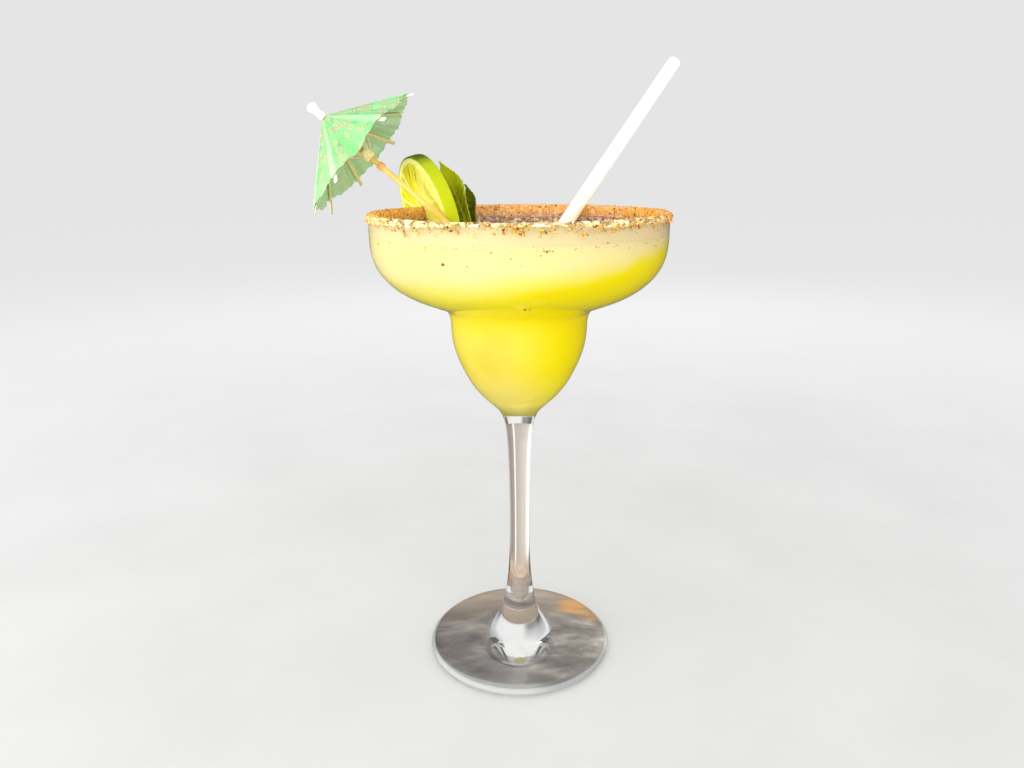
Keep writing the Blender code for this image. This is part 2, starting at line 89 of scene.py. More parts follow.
def paint(red, green, blue):
    """A colour as a screen shows it, 0 to 255, turned into Blender's linear values."""
    values = []
    for channel in (red, green, blue):
        c = channel / 255.0
        values.append(c / 12.92 if c <= 0.04045 else ((c + 0.055) / 1.055) ** 2.4)
    return (*values, 1.0)


# %% Material kit
SOCKETS = {"ior": "IOR", "clear": "Transmission Weight", "glow": "Subsurface Weight",
           "glow_depth": "Subsurface Scale", "shine": "Specular IOR Level",
           "sheen": "Sheen Weight"}


class Nodes:
    """A tree of shader nodes under construction."""

    def __init__(self, tree):
        self.tree = tree

    def put(self, socket, value):
        """Set a socket to a value, or link it to another socket."""
        if isinstance(value, bpy.types.NodeSocket):
            self.tree.links.new(value, socket)
        else:
            socket.default_value = value

    def node(self, kind, inputs=(), **settings):
        made = self.tree.nodes.new("ShaderNode" + kind)
        for key, value in settings.items():
            setattr(made, key, value)
        for name, value in dict(inputs).items():
            self.put(made.inputs[name], value)
        return made

    def sum(self, operation, a, b=0.0, clamp=False):
        return self.node("Math", {0: a, 1: b}, operation=operation, use_clamp=clamp).outputs[0]

    def times(self, a, b):
        return self.sum("MULTIPLY", a, b)

    def plus(self, a, b, clamp=False):
        return self.sum("ADD", a, b, clamp)

    def minus(self, a, b):
        return self.sum("SUBTRACT", a, b)

    def length(self, x, y):
        return self.sum("POWER", self.plus(self.times(x, x), self.times(y, y)), 0.5)

    def axes(self, vector):
        split = self.node("SeparateXYZ", {"Vector": vector})
        return [split.outputs[axis] for axis in "XYZ"]

    def ramp(self, factor, stops):
        """Colours or greys at places from 0 to 1 along a scale; three numbers are a paint."""
        made = self.node("ValToRGB", {"Fac": factor})
        elements = made.color_ramp.elements
        while len(elements) < len(stops):
            elements.new(0.5)
        for element, (position, colour) in zip(elements, stops):
            element.position = position
            colour = colour if isinstance(colour, tuple) else (colour, colour, colour, 1.0)
            element.color = paint(*colour) if len(colour) == 3 else colour
        return made.outputs["Color"]

    def between(self, value, low, high, to_low=0.0, to_high=1.0):
        """Stretch a value from one range to another, and hold it at the ends."""
        inputs = {"Value": value, "From Min": low, "From Max": high,
                  "To Min": to_low, "To Max": to_high}
        return self.node("MapRange", inputs, interpolation_type="SMOOTHSTEP").outputs["Result"]

    def mix(self, factor, first, second, blend="MIX"):
        made = self.node("Mix", {"Factor": factor}, data_type="RGBA", blend_type=blend)
        self.put(made.inputs[6], first)
        self.put(made.inputs[7], second)
        return made.outputs[2]


class Finish(Nodes):
    """A material under construction."""

    def __init__(self, name, rough=0.5, **sockets):
        self.material = bpy.data.materials.new(name)
        self.material.use_nodes = True
        super().__init__(self.material.node_tree)
        self.shader = self.tree.nodes["Principled BSDF"]
        self.shader.inputs["Roughness"].default_value = rough
        for socket, value in sockets.items():
            self.shader.inputs[SOCKETS[socket]].default_value = value

    def place(self):
        """Points of the object in its own frame, in metres."""
        return self.node("TexCoord").outputs["Object"]

    def reading(self, name):
        """A number that the mesh carries at each of its points."""
        return self.node("Attribute", attribute_name=name).outputs["Fac"]

    def noise(self, size, vector=None, detail=3.0, rough=0.55, stretch=None):
        """Cloudy noise whose blobs are about size metres across."""
        vector = vector or self.place()
        if stretch:
            vector = self.node("VectorMath", {0: vector, 1: stretch},
                               operation="MULTIPLY").outputs[0]
        inputs = {"Vector": vector, "Scale": 1.0 / size, "Detail": detail, "Roughness": rough}
        return self.node("TexNoise", inputs).outputs["Fac"]

    def bump(self, height, depth, strength=1.0):
        """Relief in the shading only; depth is in metres."""
        inputs = {"Height": height, "Distance": depth, "Strength": strength}
        normal = self.node("Bump", inputs).outputs["Normal"]
        self.put(self.shader.inputs["Normal"], normal)

    def colour(self, socket):
        self.put(self.shader.inputs["Base Color"], socket)

    def roughness(self, socket):
        self.put(self.shader.inputs["Roughness"], socket)


# %% [markdown]
# ## A small kit for meshes
# Nearly every piece here is a sheet that is wrapped into a shape: the glass, a leaf, the straw,
# the paper. A grid of points, worked out by a rule and joined row by row, makes them all, and it
# carries extra numbers for the finishes, such as where a vein or a membrane runs.

# %% Mesh kit
SHARP_ABOVE = math.radians(42)


def matrix_from(origin, z_axis, x_hint):
    """A frame at origin with its Z along z_axis and its X near x_hint."""
    z = Vector(z_axis).normalized()
    x = (Vector(x_hint) - z * Vector(x_hint).dot(z)).normalized()
    made = Matrix((x, z.cross(x), z)).transposed().to_4x4()
    made.translation = origin
    return made


def solid(name, points, faces, readings):
    """A mesh object of points and faces, whose points carry the readings."""
    mesh = bpy.data.meshes.new(name)
    mesh.from_pydata(points.reshape(-1, 3).tolist(), [], faces)
    for key, values in readings.items():
        mesh.attributes.new(key, "FLOAT", "POINT").data.foreach_set(
            "value", np.asarray(values, dtype=np.float32).reshape(-1))
    return add(name, mesh)


def grid(name, points, around=True, loop=False, ends=False, readings=None):
    """Join rows of points, an array of rows x columns x 3, into one mesh object.

    around closes each row into a ring, loop joins the last row to the first, and ends caps the
    first and last ring. readings are arrays of rows x columns that the points carry.
    """
    rows, columns = points.shape[:2]
    index = np.arange(rows * columns).reshape(rows, columns)
    if around:
        index = np.hstack([index, index[:, :1]])
    if loop:
        index = np.vstack([index, index[:1]])
    faces = np.stack([index[:-1, :-1], index[1:, :-1], index[1:, 1:], index[:-1, 1:]], -1)
    faces = faces.reshape(-1, 4).tolist()
    if ends:
        faces += [index[0, :columns].tolist(), index[-1, :columns][::-1].tolist()]
    made = solid(name, points, faces, readings or {})
    made.data.shade_smooth()
    made.data.set_sharp_from_angle(angle=SHARP_ABOVE)
    return made


def polar(r, angle, z):
    """Points at a distance r from Z, at an angle round it and a height z."""
    return np.stack(np.broadcast_arrays(r * np.cos(angle), r * np.sin(angle), z), -1)


def round_about(steps):
    """Evenly spaced angles of one full turn."""
    return np.arange(steps) * 2 * math.pi / steps


def turn(profile, steps):
    """Points of a profile of (r, z) turned about Z: rows down the profile, columns round it."""
    profile = np.asarray(profile, dtype=float)
    return polar(profile[:, :1], round_about(steps), profile[:, 1:])


def dress(piece, material, slot, *nodes):
    """Give a piece its finish and its place in the model."""
    piece.data.materials.clear()
    piece.data.materials.append(material)
    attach(piece, "root")
    if nodes:
        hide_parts(*nodes)
    print(piece.name, "faces:", len(piece.data.polygons), "stands for:", nodes or "nothing")
    return piece


def soft_noise(x, y, z, seed=0, octaves=4):
    """Smooth waves that look random, from -1 to 1, for relief in the mesh itself."""
    draw = np.random.default_rng(seed)
    total = np.zeros(np.broadcast(x, y, z).shape)
    weight = 0.0
    for octave in range(octaves):
        for _ in range(3):
            k = draw.normal(size=3)
            k *= 2.0 ** octave / np.linalg.norm(k)
            total += np.sin(k[0] * x + k[1] * y + k[2] * z + draw.uniform(0, 6.28)) / 2 ** octave
            weight += 0.5 / 2 ** octave
    return total / weight


# %% [markdown]
# ## Floor, air and lamps
# The drink stands on a plain pale floor in soft light. Clear glass shows nothing but what is
# round it, so an even white room would make it vanish. The world is split by the kind of ray:
# the camera sees a pale backdrop, and glass and gloss see a studio with bright panels and darker
# gaps between them, which draw the streaks in the stem.

# %% World
BACKDROP = paint(229, 229, 229)
AMBIENT = 1.15
GLOSS_DIMMING = 0.14
PANELS = 5.0
STRIPS = 13.0

world = bpy.data.worlds.new("studio")
bpy.context.scene.world = world
world.use_nodes = True
world.node_tree.nodes.clear()
studio = Nodes(world.node_tree)

east, north, up = studio.axes(studio.node("TexCoord").outputs["Generated"])
# bright panels all round the studio, with narrower strips laid over them
azimuth = studio.sum("ARCTAN2", east, north)
panels = studio.sum("SINE", studio.plus(studio.times(azimuth, PANELS), 0.6))
strips = studio.times(studio.sum("SINE", studio.times(azimuth, STRIPS)), 0.35)
bright = studio.between(studio.plus(panels, strips), -0.9, 0.3, 0.16, 0.95)
roof = studio.node("MapRange", {"Value": up, "From Min": 0.25, "From Max": 0.75}).outputs[0]
gloss = studio.mix(roof, bright, (0.9, 0.9, 0.9, 1.0))

rays = studio.node("LightPath").outputs
looking = studio.sum("MAXIMUM", rays["Is Camera Ray"], studio.sum(
    "MAXIMUM", rays["Is Glossy Ray"], rays["Is Transmission Ray"]))
lighting = studio.sum("MAXIMUM", studio.minus(1.0, looking),
                      studio.sum("GREATER_THAN", rays["Diffuse Depth"], 0.5))
off_the_skin = studio.times(rays["Is Glossy Ray"],
                            studio.sum("LESS_THAN", rays["Transmission Depth"], 0.5))
dimmed = studio.mix(off_the_skin, gloss, studio.times(gloss, GLOSS_DIMMING))
seen_by = studio.mix(lighting, dimmed, (AMBIENT, AMBIENT, AMBIENT, 1.0))
air = studio.node("Background", {
    "Color": studio.mix(rays["Is Camera Ray"], seen_by, BACKDROP), "Strength": 1.0})
studio.node("OutputWorld", {"Surface": air.outputs[0]})
bpy.context.scene.view_settings.view_transform = "Standard"
print("backdrop", [round(v, 3) for v in BACKDROP[:3]])

# %% Floor
FLOOR_DROP = 0.3 * MM
FLOOR_SIZE = 6.0
ORANGE_PATCH = (0.026, 0.020, 0.0)

corners = np.array([[(-1.0, -1.0, 0.0), (-1.0, 1.0, 0.0)], [(1.0, -1.0, 0.0), (1.0, 1.0, 0.0)]])
floor = grid("floor", corners * FLOOR_SIZE / 2, around=False)
floor.location.z = -FLOOR_DROP
slab = Finish("pale floor", rough=0.8, shine=0.0)
fx, fy, _ = slab.axes(slab.place())
away = slab.length(fx, fy)
# painted shade: the floor is darker near the glass than far off, to hold back the lamps' bright
# pool round it
shaded_near_tint = slab.ramp(slab.noise(0.09, detail=5), [(0.35, (197, 197, 197)),
                                                   (0.65, (202, 202, 202))])
far_tint = tuple(v / AMBIENT for v in BACKDROP[:3]) + (1.0,)
slab_tint = slab.mix(slab.between(away, 0.1, 0.9), shaded_near_tint, far_tint)
# painted refraction, seen only through the glass: the floor as the foot shows it, mottled greys,
# with painted shade to the left, warmer at the back, and one orange patch with an uneven edge
patches = slab.ramp(slab.noise(0.013, detail=5, rough=0.6, stretch=(0.5, 1.2, 1.0)),
                    [(0.30, (98, 92, 90)), (0.5, (158, 150, 146)),
                     (0.62, (206, 196, 188)), (0.7, (238, 234, 228))])
shaded = slab.mix(slab.between(fx, -0.034, 0.004, 0.5, 0.0), patches, paint(66, 60, 58))
opened = slab.mix(slab.between(fy, 0.004, 0.034, 0.0, 0.6), shaded, paint(216, 192, 168))
spot = slab.node("VectorMath", {0: slab.place(), 1: ORANGE_PATCH}, operation="DISTANCE")
tongues = slab.between(slab.noise(0.011, detail=4, stretch=(0.6, 1.5, 1.0)), 0.4, 0.6)
near_spot = slab.between(spot.outputs["Value"], 0.004, 0.016, 1.0, 0.0)
mottled = slab.mix(slab.times(near_spot, tongues), opened, paint(244, 182, 112))
# painted refraction, seen only through the glass: the stem works as a lens and spreads the floor
# behind it by bearing, so light and dark bands by bearing paint in its streaks
bearing = slab.sum("ARCTAN2", fx, fy)
stem_refraction_bands = slab.ramp(slab.between(bearing, -math.pi / 2, math.pi / 2), [
    (0.05, (255, 254, 250)), (0.20, (250, 247, 243)), (0.27, (206, 196, 186)),
    (0.5, (182, 172, 164)), (0.62, (174, 164, 156)), (0.635, (248, 246, 242)),
    (0.66, (246, 244, 240)), (0.675, (160, 150, 142)), (0.85, (132, 123, 116)),
    (0.97, (200, 193, 186))])
painted_refraction = slab.mix(slab.between(away, 0.045, 0.07), mottled, stem_refraction_bands)
path = slab.node("LightPath")
seen_through = slab.times(path.outputs["Is Transmission Ray"],
                          slab.sum("LESS_THAN", path.outputs["Diffuse Depth"], 0.5))
mirrored = slab.times(path.outputs["Is Glossy Ray"],
                      slab.sum("LESS_THAN", path.outputs["Transmission Depth"], 0.5))
# painted reflection: glossy rays that have not passed through glass see the floor much darker
plain = slab.mix(slab.times(mirrored, 0.9), slab_tint, paint(50, 50, 50))
slab.colour(slab.mix(seen_through, plain, painted_refraction))
floor.data.materials.append(slab.material)

# %% Lamps


def lamp(name, place, aim, size, power, kind="AREA"):
    made = add(name, bpy.data.lights.new(name, kind))
    setattr(made.data, "size" if kind == "AREA" else "shadow_soft_size", size)
    made.data.energy = power
    made.matrix_world = matrix_from(Vector(place), Vector(place) - Vector(aim), (1, 0, 0))
    made.visible_camera = False
    made.visible_glossy = False
    made.visible_transmission = False
    return made


DRINK_MIDDLE = (0.0, 0.0, 0.15)
lamp("key", (-0.6, -0.6, 0.45), DRINK_MIDDLE, 0.5, 2.1)
lamp("low front", (-0.2, -0.7, 0.06), DRINK_MIDDLE, 0.4, 2.2)
lamp("from below", (-0.15, -0.33, 0.02), DRINK_MIDDLE, 0.2, 0.3)
lamp("low right", (0.65, -0.45, 0.1), DRINK_MIDDLE, 0.4, 1.5)
lamp("low left", (-0.72, -0.25, 0.1), DRINK_MIDDLE, 0.4, 2.3)
lamp("back", (0.1, 0.75, 0.7), DRINK_MIDDLE, 0.6, 1.2)
# a narrow spot reaches the lime between the umbrella and the rim
on_lime = lamp("on the lime", (-0.1, -0.12, 0.19), (-0.032, 0.028, 0.18), 0.02, 0.5, "SPOT")
on_lime.data.spot_size = math.radians(24)
on_lime.data.spot_blend = 0.6

# %% [markdown]
# ## The glass
# The glass is blown and pulled as one piece, round about its axis, so its shape is one outline.
# The outline is given at a few points, a smooth curve runs through them, and turning it gives the
# bowl, the well, the stem and the foot. The inner side is the outer side moved in by the wall.

# %% Glass outline
GLASS_HEIGHT = 178.0 * MM
RIM_RADIUS = 54.1 * MM
WALL = 1.8 * MM
FOOT_RADIUS = 37.5 * MM
WELL_FLOOR_Z = 104.6 * MM
WELL_FLOOR_FROM_Z = 108.5 * MM
FOOT_EDGE = 1.3 * MM
OUTLINE_MM = [(54.1, 177.1), (54.1, 173.5), (54.1, 169.5), (53.5, 164.0), (51.9, 159.6),
              (49.4, 155.9), (45.6, 152.3), (40.2, 149.0), (34.0, 146.4), (29.0, 144.4),
              (26.8, 142.6), (25.8, 139.5), (25.6, 135.5), (25.0, 130.5), (23.6, 125.5),
              (21.5, 120.5), (18.7, 115.2), (15.0, 110.3), (10.8, 106.2), (7.6, 102.8),
              (5.9, 98.8), (5.0, 93.0), (4.4, 82.0), (3.95, 58.0), (4.3, 38.0), (5.5, 25.5),
              (7.3, 16.5), (9.6, 11.1), (13.2, 7.8), (19.0, 5.5), (27.5, 3.8), (36.4, 2.4),
              (37.5, 1.3)]


def smooth_line(knots, steps=5):
    """A centripetal Catmull-Rom curve through the knots, in steps from each to the next."""
    knots = np.asarray(knots, dtype=float)
    ends = np.vstack([2 * knots[0] - knots[1], knots, 2 * knots[-1] - knots[-2]])
    line = []
    for i in range(1, len(ends) - 2):
        p = ends[i - 1:i + 3]
        t = np.concatenate([[0.0], np.cumsum(np.linalg.norm(np.diff(p, axis=0), axis=1) ** 0.5)])
        for u in t[1] + (t[2] - t[1]) * np.arange(steps) / steps:
            a = [(p[k] * (t[k + 1] - u) + p[k + 1] * (u - t[k])) / (t[k + 1] - t[k])
                 for k in range(3)]
            b = [(a[k] * (t[k + 2] - u) + a[k + 1] * (u - t[k])) / (t[k + 2] - t[k])
                 for k in range(2)]
            line.append((b[0] * (t[2] - u) + b[1] * (u - t[1])) / (t[2] - t[1]))
    return np.array(line + [knots[-1]])


def beside(line, distance):
    """The line moved sideways, to the right of the way it runs: outwards on a line going down."""
    along = np.gradient(line, axis=0)
    along /= np.linalg.norm(along, axis=1)[:, None]
    return line + np.stack([-along[:, 1], along[:, 0]], -1) * distance


outer_line = smooth_line(np.array(OUTLINE_MM) * MM)


def inner_line(spare=0.0):
    """The inner side of the wall from the rim to the middle of the well's floor."""
    inside = beside(outer_line[outer_line[:, 1] > WELL_FLOOR_FROM_Z], -(WALL - spare))
    floor_z = WELL_FLOOR_Z - spare
    r, z = inside[-1]
    curve = [(r * math.cos(a), z - (z - floor_z) * math.sin(a))
             for a in np.linspace(0, math.pi / 2, 12)[1:]]
    return np.vstack([inside, curve])


print("wall inside the rim:", inner_line()[0] / MM, "middle of the well:", inner_line()[-1] / MM)

# %% Glass body
TURN_STEPS = 192

lip_middle = np.array((RIM_RADIUS - WALL / 2, GLASS_HEIGHT - WALL / 2))
lip_angles = np.linspace(math.pi, 0, 11)[1:-1]
lip = lip_middle + WALL / 2 * np.stack([np.cos(lip_angles), np.sin(lip_angles)], -1)
foot_angles = np.linspace(0, math.pi / 2, 5)[1:]
foot_middle = np.array((FOOT_RADIUS - FOOT_EDGE, FOOT_EDGE))
foot_edge = foot_middle + FOOT_EDGE * np.stack([np.cos(foot_angles), -np.sin(foot_angles)], -1)
glass_line = np.vstack([inner_line()[::-1], lip, outer_line, foot_edge, [(0.0, 0.0)]])
glass_points = turn(glass_line, TURN_STEPS)
glass = grid("stem_glass", glass_points)

# %% [markdown]
# ## Clear glass
# The Principled shader with full transmission bends light as real glass does. Light that should
# reach the drink through the wall would have to be found by chance, so shadow rays are let
# through nearly unchanged. Rays that have bounced to and fro in the glass go straight on at half
# strength, a painted shade that greys the foot's edge. A very slight waviness keeps the stem from
# looking machined, and the foot's edge is a little worn and rough, with a painted highlight: a
# thin band on it lets less light through, so the glass's pale colour shows as a bright line.

# %% Glass finish
# the foot's worn edge with its painted highlight: how far out it starts, and how high it ends
WORN_AND_LIT_FROM = (0.0355, 0.0368)
WORN_AND_LIT_BELOW = (0.003, 0.0045)

clear = Finish("clear glass", rough=0.015, ior=1.5, clear=1.0)
clear.colour(clear.ramp(clear.noise(0.05), [(0.3, (0.985, 0.985, 0.98, 1.0)),
                                            (0.7, (0.965, 0.968, 0.962, 1.0))]))
clear.bump(clear.noise(0.012, detail=1, stretch=(1.0, 1.0, 0.25)), 0.15 * MM, 0.25)
gx, gy, gz = clear.axes(clear.place())
gr = clear.length(gx, gy)
worn_and_lit_rim = clear.times(clear.between(gr, *WORN_AND_LIT_FROM), clear.between(gz, *WORN_AND_LIT_BELOW, 1.0, 0.0))
# painted highlight: a band on the foot's edge lets less light through, so its pale colour shows
# bright
band = clear.times(worn_and_lit_rim, clear.between(gz, 0.0007, 0.0012))
clear.roughness(clear.between(worn_and_lit_rim, 0.0, 1.0, 0.015, 0.2))
clear.put(clear.shader.inputs["Transmission Weight"], clear.between(band, 0.0, 1.0, 1.0, 0.74))
# painted shade: rays that have bounced more than twice in the glass go on at half strength
trace = clear.node("LightPath")
let_through = clear.node("BsdfTransparent", {"Color": clear.mix(
    trace.outputs["Is Shadow Ray"], (0.5, 0.5, 0.5, 1.0), (0.86, 0.86, 0.86, 1.0))})
straight_on = clear.sum("MAXIMUM", trace.outputs["Is Shadow Ray"],
                        clear.sum("GREATER_THAN", trace.outputs["Glossy Depth"], 2.5))
split = clear.node("MixShader", {0: straight_on, 1: clear.shader.outputs[0],
                                 2: let_through.outputs[0]})
clear.put(clear.tree.nodes["Material Output"].inputs["Surface"], split.outputs[0])
dress(glass, clear.material, "clear_glass", "glass")

# %% [markdown]
# ## The drink
# The drink is cloudy: light goes a little way in and comes out again, so it looks solid. It fills
# the glass to 7.5 mm under the rim. If it stopped at the wall, a film of air would show as a
# mirror, so the piece reaches a little way into the wall. It climbs the wall at its edge.

# %% Drink body
DRINK_LEVEL_Z = 170.5 * MM
INTO_WALL = 0.12 * MM
MENISCUS = 0.7 * MM

side = inner_line(INTO_WALL)
side = side[side[:, 1] < DRINK_LEVEL_Z + MENISCUS * 0.9]
edge_r = side[0, 0]
top_r = np.concatenate([np.linspace(0.0, edge_r * 0.94, 34),
                        np.linspace(edge_r * 0.95, edge_r, 10)])
climb = MENISCUS * np.exp(-(edge_r - top_r) / (1.1 * MM))
top_line = np.stack([top_r, DRINK_LEVEL_Z + climb], -1)
drink_points = turn(np.vstack([top_line, side[1:]]), TURN_STEPS)
on_top = np.arange(drink_points.shape[0])[:, None] < len(top_line) - 2
x, y, _ = np.moveaxis(drink_points, -1, 0)
ripple = 0.12 * MM * soft_noise(x / 0.006, y / 0.006, 0.0, seed=3)
drink_points[..., 2] += np.where(on_top, ripple, 0.0)
drink = grid("yellow_drink", drink_points)

# %% Drink finish
CREAM = paint(253, 242, 176)
SOFT_YELLOW = paint(255, 244, 120)
FULL_YELLOW = paint(255, 237, 0)
# painted light: above a line at this height, tilted by the code below, the drink is painted a pale
# cream, for light shining through it from behind and the upper left
PALE_TOP_LINE_Z = 0.1572

juice = Finish("yellow drink", rough=0.4, glow=0.12, glow_depth=0.004, shine=0.0)
jx, _, jz = juice.axes(juice.place())
tilt = juice.plus(juice.times(jx, 0.16), juice.times(juice.times(jx, jx), 1.6))
cloud = juice.times(juice.minus(juice.noise(0.025, detail=2), 0.5), 0.006)
above_line = juice.minus(juice.plus(jz, cloud), juice.plus(tilt, PALE_TOP_LINE_Z))
to_the_right = juice.between(jx, -0.034, 0.0)
# painted light: the lower drink is paler on the left, where the light falls, and full yellow on the
# right
lower_tint = juice.mix(to_the_right, paint(255, 242, 84), FULL_YELLOW)
lit_top_tint = juice.mix(juice.between(above_line, 0.001, 0.0075), SOFT_YELLOW, CREAM)
# painted shade: to the right the pale top turns a greyer beige
lit_top_tint = juice.mix(juice.between(jx, 0.006, 0.05, 0.0, 0.85), lit_top_tint, paint(250, 232, 182))
bowl_tint = juice.mix(juice.between(above_line, -0.0022, 0.0030), lower_tint, lit_top_tint)
# painted light: the well is paler and creamier on the left than on the right
well_left = juice.ramp(juice.between(jz, 0.106, 0.146),
                       [(0.0, (240, 224, 122)), (0.45, (246, 228, 88)),
                        (0.8, (252, 234, 96)), (1.0, (254, 238, 60))])
well_right = juice.mix(juice.between(jz, 0.108, 0.124), paint(255, 240, 84), FULL_YELLOW)
well_tint = juice.mix(juice.between(jx, -0.006, 0.015), well_left, well_right)
body_tint = juice.mix(juice.between(jz, 0.1405, 0.1455), well_tint, bowl_tint)
juice.colour(body_tint)
juice.bump(juice.noise(0.004, detail=2), 0.05 * MM, 0.3)
dress(drink, juice.material, "drink", "drink")

# %% [markdown]
# ## Foam left on the wall
# Shaking leaves froth, and pouring wets the wall above the drink. Seen from the front that film
# hides what stands behind it, and at the far side it is thin enough to look through.
# It is a thin band on the inner wall whose upper edge wanders.

# %% Film band
FILM_THICKNESS = 0.35 * MM
FILM_STEPS = 360

film_angle = round_about(FILM_STEPS)
front = 0.5 - 0.5 * np.sin(film_angle)
film_top = GLASS_HEIGHT - (0.6 + 2.6 * (1 - front) ** 2) * MM
film_top += 0.35 * MM * soft_noise(np.cos(film_angle) * 9, np.sin(film_angle) * 9, 0.0, seed=5)
share = np.linspace(0, 1, 14)[:, None]
wall_r = RIM_RADIUS - WALL
film_z = DRINK_LEVEL_Z + share * (np.minimum(film_top, GLASS_HEIGHT - 0.5 * MM) - DRINK_LEVEL_Z)
thin = FILM_THICKNESS * (1 - 0.75 * share ** 3) * (0.5 + 0.5 * front)
film_points = np.concatenate([polar(wall_r - thin, film_angle, film_z),
                              polar(wall_r + INTO_WALL, film_angle, film_z)[::-1]])
film_front = np.tile(front, (film_points.shape[0], 1))
film = grid("foam_film", film_points, loop=True, readings={"front": film_front})

# %% Film finish
froth = Finish("foam film", rough=0.5)
facing = froth.reading("front")
streaks = froth.noise(0.0035, detail=4, stretch=(1.0, 1.0, 0.35))
hx, _, hz = froth.axes(froth.place())
waver = froth.times(froth.minus(froth.noise(0.006, detail=3), 0.5), 0.0016)
line_off = froth.sum("ABSOLUTE", froth.minus(froth.plus(hz, waver), DRINK_LEVEL_Z + 0.5 * MM))
# painted shade: the film's front is paler on the left and a greyer beige on the right
front_tint = froth.mix(froth.between(hx, -0.04, 0.05), paint(255, 246, 190), paint(246, 226, 178))
back_tint = froth.ramp(froth.noise(0.0014, detail=4),
                       [(0.36, (128, 92, 92)), (0.5, (180, 142, 136)), (0.62, (246, 222, 208))])
film_tint = froth.mix(froth.between(facing, 0.25, 0.6), back_tint, front_tint)
froth.colour(froth.mix(froth.between(line_off, 0.0, 0.0007, 0.2, 0.0), film_tint,
                       paint(214, 182, 108)))
cover = froth.plus(froth.between(facing, 0.2, 0.6, 0.8, 1.3),
                   froth.times(froth.minus(streaks, 0.5), 0.9), clamp=True)
froth.put(froth.shader.inputs["Alpha"], cover)
froth.bump(streaks, 0.1 * MM, 0.4)
dress(film, froth.material, "drink")

# %% [markdown]
# ## The crust on the rim
# The rim was wetted and turned in chili and salt. What shows is thousands of tiny flakes and
# crystals over a thin damp bed. The bed is a lumpy cap over the lip, and the flakes are real
# little solids set on it by a seeded draw, all joined in one mesh for each kind.

# %% Crust bed
CRUST_THICKNESS = 0.6 * MM
CRUST_GAP = 0.3 * MM
CRUST_STEPS = 720

crust_out = RIM_RADIUS + CRUST_GAP + CRUST_THICKNESS
crust_in = RIM_RADIUS - WALL - CRUST_GAP - CRUST_THICKNESS
crust_top = GLASS_HEIGHT + CRUST_GAP + CRUST_THICKNESS
bed_angle = round_about(CRUST_STEPS)


def at_front(angle):
    """1 at the side that faces the viewer, 0 from the two sides backwards."""
    return np.clip(-np.sin(angle), 0, 1) ** 0.8


def bed_depth(angle, inside):
    """How far down the bed reaches round the rim."""
    wander = 0.5 * np.sin(5 * angle + 0.7) + 0.3 * np.sin(11 * angle + (2.0 if inside else 0.4))
    base = 4.4 if inside else 3.3 - 2.3 * at_front(angle)
    return (base + 0.7 * wander) * MM


def bed_section(angle):
    """The bed's outer skin at one angle, from its outer lower edge over the lip to the inner."""
    down_out, down_in = bed_depth(angle, False), bed_depth(angle, True)
    corner = 0.8 * MM
    thin = 0.5 * MM * float(at_front(angle))
    middle = (crust_out + crust_in) / 2
    half = (crust_out - crust_in) / 2 - thin
    line = [(RIM_RADIUS - 0.05 * MM, GLASS_HEIGHT - down_out)]
    line += [(middle + half - 0.25 * MM, GLASS_HEIGHT - down_out * k) for k in (0.9, 0.7, 0.5, 0.3)]
    for k in range(9):
        a = math.pi * k / 8
        line.append((middle + half * math.cos(a), GLASS_HEIGHT - corner
                     + (crust_top - thin - GLASS_HEIGHT + corner) * math.sin(a)))
    line += [(middle - half + 0.2 * MM, GLASS_HEIGHT - down_in * k) for k in (0.3, 0.5, 0.7, 0.9)]
    within_wall = (RIM_RADIUS - WALL + 0.05 * MM, RIM_RADIUS - 0.05 * MM)
    line += [(within_wall[0], GLASS_HEIGHT - down_in), (within_wall[0], GLASS_HEIGHT - corner),
             (within_wall[1], GLASS_HEIGHT - corner)]
    return line


bed_lines = np.array([bed_section(a) for a in bed_angle])
bed_r, bed_z = bed_lines[..., 0].T, bed_lines[..., 1].T
lump = soft_noise(bed_r * np.cos(bed_angle) / 0.0011, bed_r * np.sin(bed_angle) / 0.0011,
                  bed_z / 0.0011, seed=11, octaves=3)
middle_r = (crust_out + crust_in) / 2
bed_r = bed_r + np.sign(bed_r - middle_r) * 0.16 * MM * lump
bed_z = bed_z + 0.12 * MM * lump
bed_points = polar(bed_r, bed_angle, bed_z)[::-1]
bed_front = np.tile(at_front(bed_angle), (bed_points.shape[0], 1))
facing_back = np.clip(np.sin(bed_angle), 0, 1) ** 0.5
low_inside = np.clip((GLASS_HEIGHT - 1.6 * MM - bed_points[..., 2]) / (1.2 * MM), 0, 1)
low_inside *= np.hypot(bed_points[..., 0], bed_points[..., 1]) < middle_r
bed = grid("crust_bed", bed_points, loop=True, readings={
    "front": bed_front, "low_far_inside": low_inside * facing_back})

# %% Crust bed finish
AMBER = paint(236, 168, 58)
ORANGE = paint(224, 124, 28)
RUST = paint(150, 66, 18)
SALT = paint(250, 246, 232)

damp = Finish("damp chili and salt", rough=0.55)
fine = damp.noise(0.0011, detail=4, rough=0.7)
chili = damp.ramp(fine, [(0.32, RUST), (0.4, ORANGE), (0.48, AMBER), (0.6, (244, 186, 84)),
                         (0.74, SALT)])
